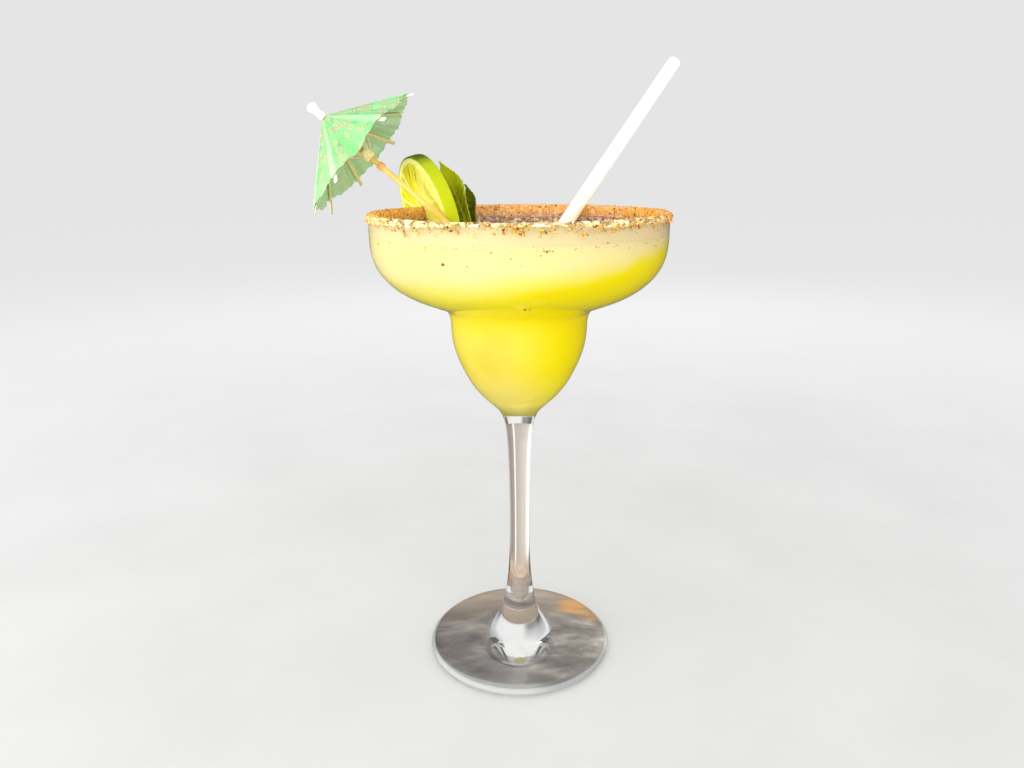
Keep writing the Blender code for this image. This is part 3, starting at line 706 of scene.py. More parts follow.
# the crust is a darker, greyer pink-brown low on its inner side, towards the back
low_far_inside = damp.ramp(damp.noise(0.0016, detail=3), [(0.35, (120, 84, 84)), (0.55, (176, 138, 130)),
                                               (0.68, (226, 196, 180))])
frost = damp.ramp(damp.noise(0.0009, detail=4), [(0.34, (226, 180, 70)),
                                                 (0.43, (250, 226, 140)),
                                                 (0.52, (253, 242, 196)), (0.66, SALT)])
crust_tint = damp.mix(damp.reading("low_far_inside"), chili, low_far_inside)
rosy = damp.ramp(damp.noise(0.0013, detail=3), [(0.38, (204, 132, 88)),
                                                (0.6, (248, 208, 176))])
far_side = damp.between(damp.axes(damp.place())[1], 0.005, 0.045, 0.0, 0.4)
crust_tint = damp.mix(far_side, crust_tint, rosy)
damp.colour(damp.mix(damp.between(damp.reading("front"), 0.3, 0.8), crust_tint, frost))
bare = damp.minus(1.0, damp.between(damp.reading("front"), 0.35, 0.7))
patchy = damp.between(damp.noise(0.0019, detail=3), 0.47, 0.53)
damp.put(damp.shader.inputs["Alpha"], damp.sum("MAXIMUM", bare, patchy))
damp.bump(damp.noise(0.0005, detail=3), 0.15 * MM, 0.8)
dress(bed, damp.material, "rim_crust", "chili_salt_rim")

# %% Grain kit
RATIO = (1 + 5 ** 0.5) / 2
TWENTY = np.array([(-1, RATIO, 0), (1, RATIO, 0), (-1, -RATIO, 0), (1, -RATIO, 0),
                   (0, -1, RATIO), (0, 1, RATIO), (0, -1, -RATIO), (0, 1, -RATIO),
                   (RATIO, 0, -1), (RATIO, 0, 1), (-RATIO, 0, -1), (-RATIO, 0, 1)]) / 1.902
TWENTY_FACES = np.array([(0, 11, 5), (0, 5, 1), (0, 1, 7), (0, 7, 10), (0, 10, 11), (1, 5, 9),
                         (5, 11, 4), (11, 10, 2), (10, 7, 6), (7, 1, 8), (3, 9, 4), (3, 4, 2),
                         (3, 2, 6), (3, 6, 8), (3, 8, 9), (4, 9, 5), (2, 4, 11), (6, 2, 10),
                         (8, 6, 7), (9, 8, 1)])
CUBE = np.array([(x, y, z) for x in (-1, 1) for y in (-1, 1) for z in (-1, 1)]) / 1.6
CUBE_FACES = np.array([(0, 1, 3, 2), (4, 6, 7, 5), (0, 4, 5, 1), (2, 3, 7, 6), (0, 2, 6, 4),
                       (1, 5, 7, 3)])


def scatter(name, places, sizes, flat, seed, shape=(TWENTY, TWENTY_FACES), tones=None):
    """One mesh of many little solids, each turned, stretched and dented its own way.

    flat is the range of their thickness, as a share of their length.
    """
    draw = np.random.default_rng(seed)
    base, faces = shape
    count = len(places)
    turns, _ = np.linalg.qr(draw.normal(size=(count, 3, 3)))
    turns *= np.sign(np.linalg.det(turns))[:, None, None]
    stretch = np.stack([np.ones(count), draw.uniform(0.6, 1.0, count),
                        draw.uniform(*flat, count)], -1)
    dents = draw.uniform(0.75, 1.2, (count, len(base), 1))
    body = (base[None] * dents * stretch[:, None, :]) @ turns.transpose(0, 2, 1)
    body = body * sizes[:, None, None] / 2 + places[:, None, :]
    joined = faces[None] + np.arange(count)[:, None, None] * len(base)
    tone = draw.uniform(0, 1, count) if tones is None else tones
    return solid(name, body, joined.reshape(-1, faces.shape[1]).tolist(),
                 {"tone": np.repeat(tone, len(base))})


# %% [markdown]
# The flakes lie thick at the two sides and at the far inner wall, where the rim was pressed
# hardest, and thin at the front, where the white salt and the froth show between them.

# %% Chili flakes and salt
FLAKES = 5200
CRYSTALS = 2300
# the share of them that lies outside the lip, and inside it; the others lie on top
OUTSIDE_SHARE = 0.42
INSIDE_SHARE = 0.38
# Clumps that hang at the front: degrees to the right, drop below the rim and width in
# millimetres, and how many flakes
CLUMPS = [(-47.0, 2.6, 1.6, 5), (-41.6, 3.2, 1.8, 6), (-36.4, 3.2, 1.4, 4), (-31.0, 1.6, 2.0, 7),
          (-24.4, 1.4, 2.6, 16), (-20.5, 2.7, 1.8, 9), (-14.8, 3.6, 0.9, 3), (-10.5, 0.6, 1.8, 6),
          (-8.7, 2.8, 0.9, 3), (-5.0, 2.0, 1.6, 8), (-1.6, 1.2, 2.8, 24), (0.6, 2.4, 2.0, 12),
          (2.3, 1.0, 1.4, 6), (6.2, 2.2, 1.8, 11), (10.0, 0.9, 2.2, 12), (11.1, 2.4, 1.4, 6),
          (16.4, 1.3, 1.6, 7), (20.9, 3.2, 1.6, 7), (26.3, 1.6, 2.2, 12), (31.4, 2.2, 2.4, 12),
          (35.2, 1.6, 2.0, 12), (40.0, 1.4, 2.2, 12), (44.0, 1.8, 2.0, 12), (53.6, 1.7, 2.0, 10)]


def clumps_on_rim(seed):
    draw = np.random.default_rng(seed)
    places, sizes = [], []
    for degrees, drop, width, count in CLUMPS:
        a = math.radians(degrees - 90.0) + draw.normal(0, width * MM / RIM_RADIUS / 2.6, count)
        z = GLASS_HEIGHT - np.abs(drop + draw.normal(0, width / 3.4, count)) * MM
        r = RIM_RADIUS + (0.15 + draw.uniform(0, 0.35, count)) * MM
        places.append(polar(r, a, z))
        sizes.append((0.45 + 0.95 * draw.uniform(0, 1, count) ** 1.6) * MM)
    return np.vstack(places), np.concatenate(sizes)


def on_rim(count, seed, front_share, deeper):
    """Places on the crust, fewer of them at the front and more of those hanging lower there."""
    draw = np.random.default_rng(seed)
    angle = draw.uniform(0, 2 * math.pi, count * 3)
    keep = draw.uniform(0, 1, count * 3) < 1 - (1 - front_share) * at_front(angle)
    angle = angle[keep][:count]
    count = len(angle)
    part = draw.uniform(0, 1, count)
    drop = draw.uniform(0, 1, count) ** 1.3
    jut = draw.uniform(-0.15, 0.18, count) * MM
    out_depth = bed_depth(angle, False) + deeper * MM * at_front(angle)
    in_depth = bed_depth(angle, True)
    lip_turn = draw.uniform(0, math.pi, count)
    half = (crust_out - crust_in) / 2
    outside, inside = part < OUTSIDE_SHARE, part > 1 - INSIDE_SHARE
    r = np.where(outside, crust_out - 0.2 * MM + jut,
                 np.where(inside, crust_in + 0.15 * MM - jut,
                          middle_r + (half + jut) * np.cos(lip_turn)))
    z = np.where(outside, GLASS_HEIGHT - drop * out_depth,
                 np.where(inside, GLASS_HEIGHT - drop * in_depth,
                          GLASS_HEIGHT - 0.8 * MM + (1.65 * MM + jut) * np.sin(lip_turn)))
    r = np.where(outside & (drop * out_depth > bed_depth(angle, False)), RIM_RADIUS + 0.15 * MM, r)
    r = r - np.sign(r - middle_r) * 0.5 * MM * at_front(angle)
    z = z - np.where(outside | inside, 0.0, 0.5 * MM * at_front(angle))
    return polar(r, angle, z), angle, draw


flake_places, flake_angle, draw = on_rim(FLAKES, 21, 0.34, 1.7)
flake_sizes = (0.35 + 0.75 * draw.uniform(0, 1, len(flake_places)) ** 2.2
               * (1 - 0.45 * at_front(flake_angle))) * MM
clump_places, clump_sizes = clumps_on_rim(23)
flakes = scatter("chili_flakes", np.vstack([flake_places, clump_places]),
                 np.concatenate([flake_sizes, clump_sizes]), (0.25, 0.7), 22)
salt_places, _, draw = on_rim(CRYSTALS, 31, 0.8, 1.2)
salt_sizes = (0.25 + 0.4 * draw.uniform(0, 1, len(salt_places)) ** 2) * MM
salt = scatter("salt_crystals", salt_places, salt_sizes, (0.7, 1.0), 32, (CUBE, CUBE_FACES))

# %% Flake and crystal finishes


def grain_skin(name, stops):
    """Each grain takes one tone of the scale, with a fine speckle over it."""
    made = Finish(name, rough=0.5)
    speckle = made.ramp(made.noise(0.0004), [(0.35, 0.75), (0.6, 1.0)])
    made.colour(made.mix(1.0, made.ramp(made.reading("tone"), stops), speckle, "MULTIPLY"))
    return made.material


dress(flakes, grain_skin("chili flakes", [
    (0.0, (120, 44, 14)), (0.1, (178, 84, 22)), (0.3, (228, 154, 40)),
    (0.65, (242, 186, 66)), (0.85, (240, 202, 80)), (1.0, (214, 196, 66))]),
    "rim_crust")

crystal = Finish("salt crystals", rough=0.3)
crystal.colour(crystal.ramp(crystal.reading("tone"), [(0.0, (252, 250, 240)),
                                                      (0.4, (255, 240, 200)),
                                                      (1.0, (246, 200, 130))]))
crystal.bump(crystal.noise(0.0003), 0.05 * MM, 0.4)
dress(salt, crystal.material, "rim_crust")

# %% [markdown]
# ## Strays
# A few crumbs of chili stick to the outside of the bowl, and finer dust floats along the edge of
# the drink. The large ones are listed one by one, by their angle round the bowl and their height.

# %% Crumbs on the bowl
DUST = 260
# angle in degrees from the front, to the right; height and size in millimetres
CRUMBS = [(-43.3, 172.3, 0.5), (-32.8, 170.4, 0.5), (-32.8, 169.5, 0.5), (-26.2, 165.5, 1.5),
          (-17.6, 165.2, 0.7), (-9.4, 169.6, 0.8), (-3.1, 167.8, 0.8), (0.1, 165.7, 0.5),
          (7.3, 170.0, 0.7), (8.3, 169.8, 1.1), (9.2, 170.1, 0.6), (10.2, 169.9, 0.9),
          (6.4, 168.7, 0.6), (17.5, 170.2, 0.5), (25.0, 170.8, 0.6), (29.5, 171.8, 0.9),
          (33.3, 170.8, 0.5), (38.8, 169.7, 0.8), (46.0, 170.9, 0.8), (48.0, 170.6, 0.8),
          (55.3, 169.1, 0.6), (1.9, 150.5, 1.1), (4.1, 150.5, 1.0), (-50.5, 170.9, 0.5),
          (-12.9, 170.4, 0.5), (-21.4, 170.5, 0.5), (-60.0, 169.8, 0.5), (62.0, 171.5, 0.6)]


def on_bowl(degrees, z_mm, proud):
    """Points proud of the outside of the bowl by so many millimetres."""
    z = z_mm * MM
    r = np.interp(z, outer_line[::-1, 1], outer_line[::-1, 0]) + proud * MM
    return polar(r, np.radians(degrees - 90.0), z)


crumb_angle, crumb_z, crumb_width = np.array(CRUMBS).T
dust_draw = np.random.default_rng(41)
dust_angle = dust_draw.uniform(-180, 180, DUST)
dust_z = DRINK_LEVEL_Z / MM - 0.1 + dust_draw.normal(0, 0.35, DUST)
dust = on_bowl(dust_angle, dust_z, 0.1)
dust[:, :2] *= ((RIM_RADIUS - WALL + 0.16 * MM) / np.hypot(dust[:, 0], dust[:, 1]))[:, None]
crumb_places = np.vstack([on_bowl(crumb_angle, crumb_z, 0.22), dust])
crumb_sizes = np.concatenate([crumb_width, dust_draw.uniform(0.12, 0.42, DUST)]) * MM
crumb_tones = np.concatenate([dust_draw.uniform(0.0, 0.7, len(CRUMBS)),
                              dust_draw.uniform(0.2, 0.9, DUST)])
crumbs = scatter("chili_crumbs", crumb_places, crumb_sizes, (0.3, 0.8), 42, tones=crumb_tones)
dress(crumbs, grain_skin("chili crumbs", [
    (0.0, (150, 84, 22)), (0.3, (178, 118, 38)), (0.65, (206, 154, 58)),
    (1.0, (222, 190, 104))]), "rim_crust")

# %% [markdown]
# ## The lime wheel
# A slice of lime is a disc with a peel, a white pith, and segments of pulp between membranes.
# The mesh is two faces and a peel made from rings of points. Each point knows its radius and its
# angle, and so whether it is peel, pith, membrane or pulp; that number drives relief and colour.

# %% Lime shape
LIME_RADIUS = 23.0 * MM
LIME_THICKNESS = 5.6 * MM
LIME_FACE_CENTRE = Vector((-39.0, 36.6, 176.2)) * MM
LIME_FACE_NORMAL = Vector((-0.85, -0.465, -0.25)).normalized()
LIME_SEGMENTS = 10
PEEL = 1.0 * MM
PITH = 1.7 * MM
CORE = 1.6 * MM
MEMBRANE = 0.28 * MM
LIME_COLUMNS = 360


def lime_face(side):
    """Rings of one cut face, from the middle out, with what each point is made of."""
    r = np.concatenate([np.linspace(0, LIME_RADIUS - PEEL - PITH, 46),
                        np.linspace(LIME_RADIUS - PEEL - PITH, LIME_RADIUS - 0.5 * MM, 10)[1:]])
    r, angle = np.meshgrid(r, round_about(LIME_COLUMNS), indexing="ij")
    warp = 0.10 * np.sin(3 * angle + 1.0) + 0.06 * np.sin(7 * angle)
    place = (angle / (2 * math.pi) * LIME_SEGMENTS + warp) % 1.0
    from_membrane = np.minimum(place, 1 - place) * 2 * math.pi / LIME_SEGMENTS * r
    from_pith = LIME_RADIUS - PEEL - PITH - r
    from_core = r - CORE
    inset = np.minimum(np.minimum(from_membrane - MEMBRANE, from_pith), from_core)
    pulp = np.clip(inset / (0.5 * MM), 0, 1)
    sacs = soft_noise(r * 1400, angle * 34, side, seed=51, octaves=2)
    relief = 0.28 * MM * pulp ** 0.5 + 0.07 * MM * sacs * pulp
    z = side * (LIME_THICKNESS / 2 - 0.3 * MM + relief)
    peel = np.clip((r - (LIME_RADIUS - PEEL)) / (0.3 * MM), 0, 1)
    return polar(r, angle, z), pulp, sacs * pulp, peel


faces = [lime_face(1.0), lime_face(-1.0)]
peel_angles = np.linspace(math.radians(78), math.radians(-78), 15)
peel_z = (LIME_THICKNESS / 2 - 0.25 * MM) * np.sin(peel_angles) / math.sin(math.radians(78))
peel_r = LIME_RADIUS - 0.5 * MM * (1 - np.cos(peel_angles) ** 0.5)
peel_points = turn(np.stack([peel_r, peel_z], -1), LIME_COLUMNS)
pores = soft_noise(peel_points[..., 0] / 0.0006, peel_points[..., 1] / 0.0006,
                   peel_points[..., 2] / 0.0006, seed=52, octaves=2)
peel_points *= (1 - 0.0022 * np.clip(pores, 0, 1))[..., None]
lime_points = np.concatenate([faces[0][0], peel_points, faces[1][0][::-1]])
zero, one = np.zeros(peel_points.shape[:2]), np.ones(peel_points.shape[:2])
lime = grid("lime_slice", lime_points, readings={
    "pulp": np.concatenate([faces[0][1], zero, faces[1][1][::-1]]),
    "sacs": np.concatenate([faces[0][2], zero, faces[1][2][::-1]]),
    "peel": np.concatenate([faces[0][3], one, faces[1][3][::-1]])})
lime.matrix_world = matrix_from(LIME_FACE_CENTRE - LIME_FACE_NORMAL * LIME_THICKNESS / 2,
                                LIME_FACE_NORMAL, (0, 0, 1))

# %% [markdown]
# The wheel is pushed over the rim by a slit, cut from its edge towards the middle. The knife here
# is a ring with the wall's own outline, a little thicker than the wall and as thick as the crust
# near the top, so the slit fits the rim where it stands.

# %% Lime slit
SLIT_GAP = 0.15 * MM
SLIT_WIDER_Z = GLASS_HEIGHT - 5.4 * MM

wall_line = outer_line[outer_line[:, 1] > LIME_FACE_CENTRE.z - LIME_RADIUS - 2 * MM]
room = SLIT_GAP + np.where(wall_line[:, 1:] > SLIT_WIDER_Z, CRUST_GAP + CRUST_THICKNESS, 0.0)
ring_line = np.vstack([beside(wall_line, room), beside(wall_line, -WALL - room)[::-1]])
ring_line[ring_line[:, 1] > GLASS_HEIGHT - 2 * MM, 1] = crust_top + SLIT_GAP
knife = grid("knife", turn(ring_line, 180), loop=True)
slit = lime.modifiers.new("Slit", "BOOLEAN")
slit.operation = "DIFFERENCE"
slit.solver = "EXACT"
slit.object = knife
shapes = bpy.context.evaluated_depsgraph_get()
lime.data = bpy.data.meshes.new_from_object(lime.evaluated_get(shapes))
lime.modifiers.clear()
bpy.data.objects.remove(knife)
print("lime with its slit:", len(lime.data.polygons), "faces")

# %% Lime finish
flesh = Finish("lime", rough=0.4, shine=0.25, glow=0.05, glow_depth=0.002)
pulp_tint = flesh.ramp(flesh.plus(flesh.times(flesh.reading("sacs"), 0.25),
                                  flesh.noise(0.007, detail=2)),
                       [(0.3, (206, 192, 0)), (0.5, (228, 216, 0)), (0.72, (248, 238, 30))])
lx, ly, _ = flesh.axes(flesh.place())
lit_side = flesh.between(flesh.plus(ly, flesh.times(lx, 0.25)), -0.004, 0.003, 1.0, 0.0)
pulp_tint = flesh.mix(flesh.times(lit_side, 0.85), pulp_tint, paint(255, 250, 118))
cut_tint = flesh.mix(flesh.reading("pulp"), paint(252, 248, 140), pulp_tint)
peel_tint = flesh.ramp(flesh.plus(flesh.between(lx, 0.018, 0.0235, 0.0, 0.5),
                                  flesh.times(flesh.noise(0.004, detail=3), 0.45)),
                       [(0.28, (180, 190, 0)), (0.5, (150, 168, 0)), (0.68, (92, 112, 2))])
flesh.colour(flesh.mix(flesh.reading("peel"), cut_tint, peel_tint))
flesh.roughness(flesh.between(flesh.reading("pulp"), 0.0, 1.0, 0.45, 0.3))
flesh.bump(flesh.noise(0.0009, detail=2), 0.08 * MM, 0.35)
dress(lime, flesh.material, "lime", "lime_wheel")

# %% [markdown]
# ## Mint
# A mint leaf is oval, folded along its midrib, toothed at the margin and quilted between its
# veins. The leaf is a flat sheet bent by a rule, and the same rule says where the veins run.

# %% Leaf shape
LEAVES = {
    "mint_leaf_1": (Vector((-19.6, 26.1, 167.0)) * MM, Vector((-31.8, 38.0, 196.4)) * MM,
                    Vector((0.65, -0.72, 0.1)), 8.2 * MM),
    "mint_leaf_2": (Vector((-17.2, 31.0, 166.0)) * MM, Vector((-21.6, 39.5, 187.4)) * MM,
                    Vector((0.42, -0.9, 0.1)), 6.8 * MM),
}
LEAF_THICKNESS = 0.3 * MM
VEIN_PAIRS = 8
TEETH = 13.0
STALK = 0.12


def leaf(name, base, tip, across, half_width):
    """A mint leaf from its base to its tip, with its upper side to the camera."""
    u, v = np.meshgrid(np.linspace(0, 1, 150), np.linspace(-1, 1, 61), indexing="ij")
    length = (tip - base).length
    x_way = (tip - base).normalized()
    y_way = (across - x_way * across.dot(x_way)).normalized()
    z_way = x_way.cross(y_way)
    swell = np.sin(math.pi * np.minimum(u * 0.94 + 0.03, 1.0)) ** 0.75
    swell *= 0.55 + 0.45 * np.sin(math.pi * u ** 0.8)
    saw = (u * TEETH) % 1.0
    teeth = 1.0 + 0.10 * (1 - saw) * (u > STALK) - 0.05
    width = np.where(u > STALK, half_width * swell * teeth, 0.9 * MM + 2.2 * MM * u)
    slant = u * VEIN_PAIRS * 1.1 - 1.35 * np.abs(v)
    side_vein = np.exp(-((slant - np.round(slant)) / 0.10) ** 2) * (np.abs(v) < 0.93)
    midrib = np.exp(-(v / 0.055) ** 2)
    vein = np.maximum(side_vein * 0.7, midrib) * (u > 0.06)
    quilt = np.sin(math.pi * (slant - np.floor(slant))) * np.sin(math.pi * np.abs(v)) ** 0.5
    fold = -0.22 * np.abs(v) * width
    wave = 0.035 * length * np.sin(9.0 * u + 1.5 * v) * np.abs(v)
    bow = 0.06 * length * np.sin(math.pi * u)
    lift = fold + wave + bow + 0.5 * MM * quilt * (u > 0.1) - 0.25 * MM * midrib
    points = (np.array(base)[None, None] + np.array(x_way) * (u * length)[..., None]
              + np.array(y_way) * (v * width)[..., None] + np.array(z_way) * lift[..., None])
    made = grid(name + "_blade", points, around=False,
                readings={"vein": vein, "margin": np.abs(v), "quilt": quilt, "up": u})
    sheet = made.modifiers.new("Thickness", "SOLIDIFY")
    sheet.thickness = LEAF_THICKNESS
    sheet.offset = 0.0
    return made


# %% Leaf finish


def mint_skin(name, shade):
    """Green with paler veins, margin and tip; shade darkens the whole leaf."""
    green = Finish(name, rough=0.5, shine=0.25)
    blade = green.ramp(green.noise(0.005, detail=3), [
        (0.3, (72, 84, 0)), (0.55, (110, 120, 0)), (0.75, (140, 148, 6))])
    raised = green.mix(green.between(green.reading("quilt"), 0.2, 1.0, 0.0, 0.45), blade,
                       paint(146, 156, 6))
    veined = green.mix(green.reading("vein"), raised, paint(166, 172, 50))
    edged = green.mix(green.between(green.reading("margin"), 0.75, 1.0, 0.0, 0.4), veined,
                      paint(190, 194, 50))
    tipped = green.mix(green.between(green.reading("up"), 0.5, 0.9, 0.0, 0.75), edged,
                       paint(198, 208, 24))
    green.colour(green.mix(shade, tipped, paint(34, 48, 4)))
    green.bump(green.noise(0.0006, detail=3), 0.08 * MM, 0.5)
    return green.material


for (name, shape), shade in zip(LEAVES.items(), (0.0, 0.55)):
    dress(leaf(name, *shape), mint_skin("skin of " + name, shade), "mint", name)

# %% [markdown]
# ## The straw
# The straw is a strip of white paper wound in a spiral and glued. It is a tube with a real bore,
# a wall that shows at its cut end, and the faint step of the spiral along its side.

# %% Straw
STRAW_RADIUS = 2.9 * MM
STRAW_PAPER = 0.4 * MM
STRAW_FOOT = Vector((-15.8, 6.8, 125.0)) * MM
STRAW_AT_RIM = Vector((25.1, 41.0, 179.3)) * MM
STRAW_LENGTH = 159.0 * MM
STRAW_WIND = 17.0 * MM
STRAW_ROWS = 620
STRAW_SIDES = 72

straw_way = (STRAW_AT_RIM - STRAW_FOOT).normalized()
straw_z = np.linspace(-STRAW_LENGTH / 2, STRAW_LENGTH / 2, STRAW_ROWS)
straw_line = np.stack([np.full_like(straw_z, STRAW_RADIUS), straw_z], -1)
straw_skin = turn(straw_line, STRAW_SIDES)
straw_turn = np.arctan2(straw_skin[..., 1], straw_skin[..., 0])
wind = (straw_z[:, None] / STRAW_WIND + straw_turn / (2 * math.pi)) % 1.0
step = np.exp(-(np.minimum(wind, 1 - wind) / 0.012) ** 2)
straw_skin[..., :2] *= (1 - 0.022 * step - 0.006 * wind)[..., None]
straw_bore = turn(straw_line - (STRAW_PAPER, 0.0), STRAW_SIDES)
straw_points = np.concatenate([straw_skin[::-1], straw_bore])
straw_step = np.concatenate([step[::-1], 0 * step])
straw = grid("paper_straw", straw_points, loop=True, readings={"step": straw_step})
straw.matrix_world = matrix_from(STRAW_FOOT + straw_way * STRAW_LENGTH / 2, straw_way, (1, 0, 0))

white = Finish("white paper", rough=0.62)
fibres = white.noise(0.0009, detail=4, stretch=(1.0, 1.0, 0.3))
white.colour(white.mix(white.times(white.reading("step"), 0.55),
                       white.ramp(fibres, [(0.3, (243, 241, 230)), (0.7, (249, 247, 238))]),
                       paint(226, 222, 212)))
white.bump(fibres, 0.04 * MM, 0.15)
dress(straw, white.material, "straw_paper", "straw")

# %% [markdown]
# ## The umbrella's paper
# The canopy is a disc of thin paper, glued to eight ribs and creased between them where it folds
# when the umbrella shuts. Its points follow the same rule as the solid's, with a crease in the
# middle of each panel, finer folds beside it, and a pinked edge. The sheet gets its thickness from
# a Solidify modifier, which also lets its two sides have two finishes.

# %% Canopy shape
UMBRELLA_AXIS = Vector((0.758, -0.005, -0.652)).normalized()
CANOPY_APEX = Vector((-72.6, 15.6, 212.7)) * MM
CANOPY_RADIUS = 28.7 * MM
CANOPY_HEIGHT = 20.6 * MM
# each rib's angle, how far it is spread, and how much of it the paper covers
RIBS = np.array([(18.0, 1.0, 1.0), (58.0, 1.0, 1.0), (112.0, 1.0, 1.0), (142.0, 1.12, 1.0),
                 (199.0, 1.0, 0.91), (242.0, 1.0, 1.0), (285.0, 1.0, 1.0), (333.0, 0.8, 1.0)])
PAPER_THICKNESS = 0.18 * MM
PAPER_HANG = 0.5
PANEL_COLUMNS = 26
CANOPY_ROWS = 70
umbrella_frame = matrix_from(CANOPY_APEX, UMBRELLA_AXIS, (0.635, 0.0, 0.772))


def canopy_points():
    """Rows from the top of the cone to the paper's edge, columns round the stick."""
    count = len(RIBS)
    column = np.arange(count * PANEL_COLUMNS)
    panel = column // PANEL_COLUMNS
    share = (column % PANEL_COLUMNS) / PANEL_COLUMNS
    this, following = RIBS[panel], RIBS[(panel + 1) % count]
    width = (following[:, 0] - this[:, 0]) % 360.0
    angle = np.radians(this[:, 0] + width * share)
    _, spread, cover = (this + (following - this) * share[:, None]).T
    sag = 1 - (1 - np.cos(np.radians(width) / 2)) * (1 - np.abs(np.cos(math.pi * share)))
    reach = np.linspace(0.07, 1.0, CANOPY_ROWS)[:, None]
    pink = 0.5 - 0.5 * np.cos(2 * math.pi * share * 5.0)
    scallop = 1 - reach ** 6 * (0.015 * np.sin(math.pi * share) ** 0.5 + 0.022 * pink)
    beside_rib = np.exp(-((np.minimum(share, 1 - share) - 0.16) / 0.05) ** 2)
    small_folds = 0.42 * MM * np.sin(6 * math.pi * share) * np.sin(math.pi * share)
    small_folds -= 0.5 * MM * beside_rib
    r = CANOPY_RADIUS * reach * sag * scallop * spread * cover + small_folds * reach
    x, y = r * np.cos(angle), r * np.sin(angle)
    crumple = soft_noise(x / 0.004, y / 0.004, 0.0, seed=61, octaves=3)
    pulled_in = CANOPY_RADIUS * spread * np.sqrt(1 - sag ** 2)
    hang = PAPER_HANG * (np.hypot(CANOPY_HEIGHT, pulled_in) - CANOPY_HEIGHT)
    z = (CANOPY_HEIGHT + hang) * reach * scallop * cover
    z = z + 0.16 * MM * crumple * reach * np.sin(math.pi * share)
    slant = np.hypot(CANOPY_RADIUS, CANOPY_HEIGHT) * reach + 0 * angle
    return np.stack([x, y, z], -1), slant, angle + 0 * reach, share + 0 * reach


points, slant, canopy_angle, canopy_share = canopy_points()
canopy = grid("umbrella_paper", points, readings={
    "slant": slant / MM, "turn": canopy_angle, "rib": np.abs(np.cos(math.pi * canopy_share))})
sheet = canopy.modifiers.new("Paper", "SOLIDIFY")
sheet.thickness = PAPER_THICKNESS
sheet.offset = 0.0
sheet.material_offset = 1
canopy.data.transform(umbrella_frame)

# %% [markdown]
# ## The print on the paper
# The print is the usual spray of blossoms and leaves, made here from two cell patterns. In each
# cell the distance and the angle from the cell's middle draw five petals, and in another pattern
# a turned, narrow oval draws a leaf. The print follows the unrolled cone, so it bends with it.

# %% Paper finish
# a full turn round the cone is this much of a turn on the flat sheet
UNROLLED_TURN = 0.81
# a leaf of the print is this much of its length across
SPRIG_WIDTH = 0.3


def unrolled(finish):
    """Where a point of the cone lies on the flat sheet, in millimetres."""
    turn_by = finish.times(finish.reading("turn"), UNROLLED_TURN)
    slant_mm = finish.reading("slant")
    flat = finish.node("CombineXYZ", {
        "X": finish.times(slant_mm, finish.sum("COSINE", turn_by)),
        "Y": finish.times(slant_mm, finish.sum("SINE", turn_by))})
    return flat.outputs[0]


def cell(finish, flat, size, shift):
    """The way from the nearest cell's middle as x and y, and a number of that cell's own."""
    moved = finish.node("VectorMath", {0: flat, 1: (shift, shift * 0.7, 0.0)}).outputs[0]
    cells = finish.node("TexVoronoi", {"Vector": moved, "Scale": 1.0 / size, "Randomness": 0.75},
                        voronoi_dimensions="2D")
    way = finish.node("VectorMath", {0: moved, 1: cells.outputs["Position"]},
                      operation="SUBTRACT").outputs[0]
    x, y, _ = finish.axes(way)
    chance = finish.axes(cells.outputs["Color"])[0]
    return x, y, chance


def blossom(finish, flat, size, petal, shift):
    """Outline, fill and eye of a five-petalled blossom in some of the cells."""
    x, y, chance = cell(finish, flat, size, shift)
    angle = finish.sum("ARCTAN2", y, x)
    r = finish.length(x, y)
    lobes = finish.sum("ABSOLUTE", finish.sum("COSINE", finish.plus(
        finish.times(angle, 2.5), finish.times(chance, 9.0))))
    rim = finish.times(finish.plus(finish.times(lobes, 0.42), 0.58), petal)
    off = finish.sum("ABSOLUTE", finish.minus(r, rim))
    there = finish.between(chance, 0.3, 0.31)
    line = finish.times(finish.between(off, 0.08, 0.3, 1.0, 0.0), there)
    fill = finish.times(finish.between(finish.minus(rim, r), 0.0, 0.4), there)
    eye = finish.times(finish.between(r, petal * 0.16, petal * 0.3, 1.0, 0.0), there)
    return line, fill, eye


def sprig(finish, flat, size, length, shift):
    """A narrow leaf in some of the cells, turned its own way."""
    x, y, chance = cell(finish, flat, size, shift)
    turned = finish.times(chance, 21.0)
    c, s = finish.sum("COSINE", turned), finish.sum("SINE", turned)
    along = finish.plus(finish.times(x, c), finish.times(y, s))
    aside = finish.minus(finish.times(y, c), finish.times(x, s))
    along = finish.sum("DIVIDE", along, length)
    aside = finish.sum("DIVIDE", aside, length * SPRIG_WIDTH)
    oval = finish.plus(finish.times(along, along), finish.times(aside, aside))
    there = finish.between(chance, 0.45, 0.47)
    return finish.times(finish.between(oval, 0.6, 1.1, 1.0, 0.0), there)


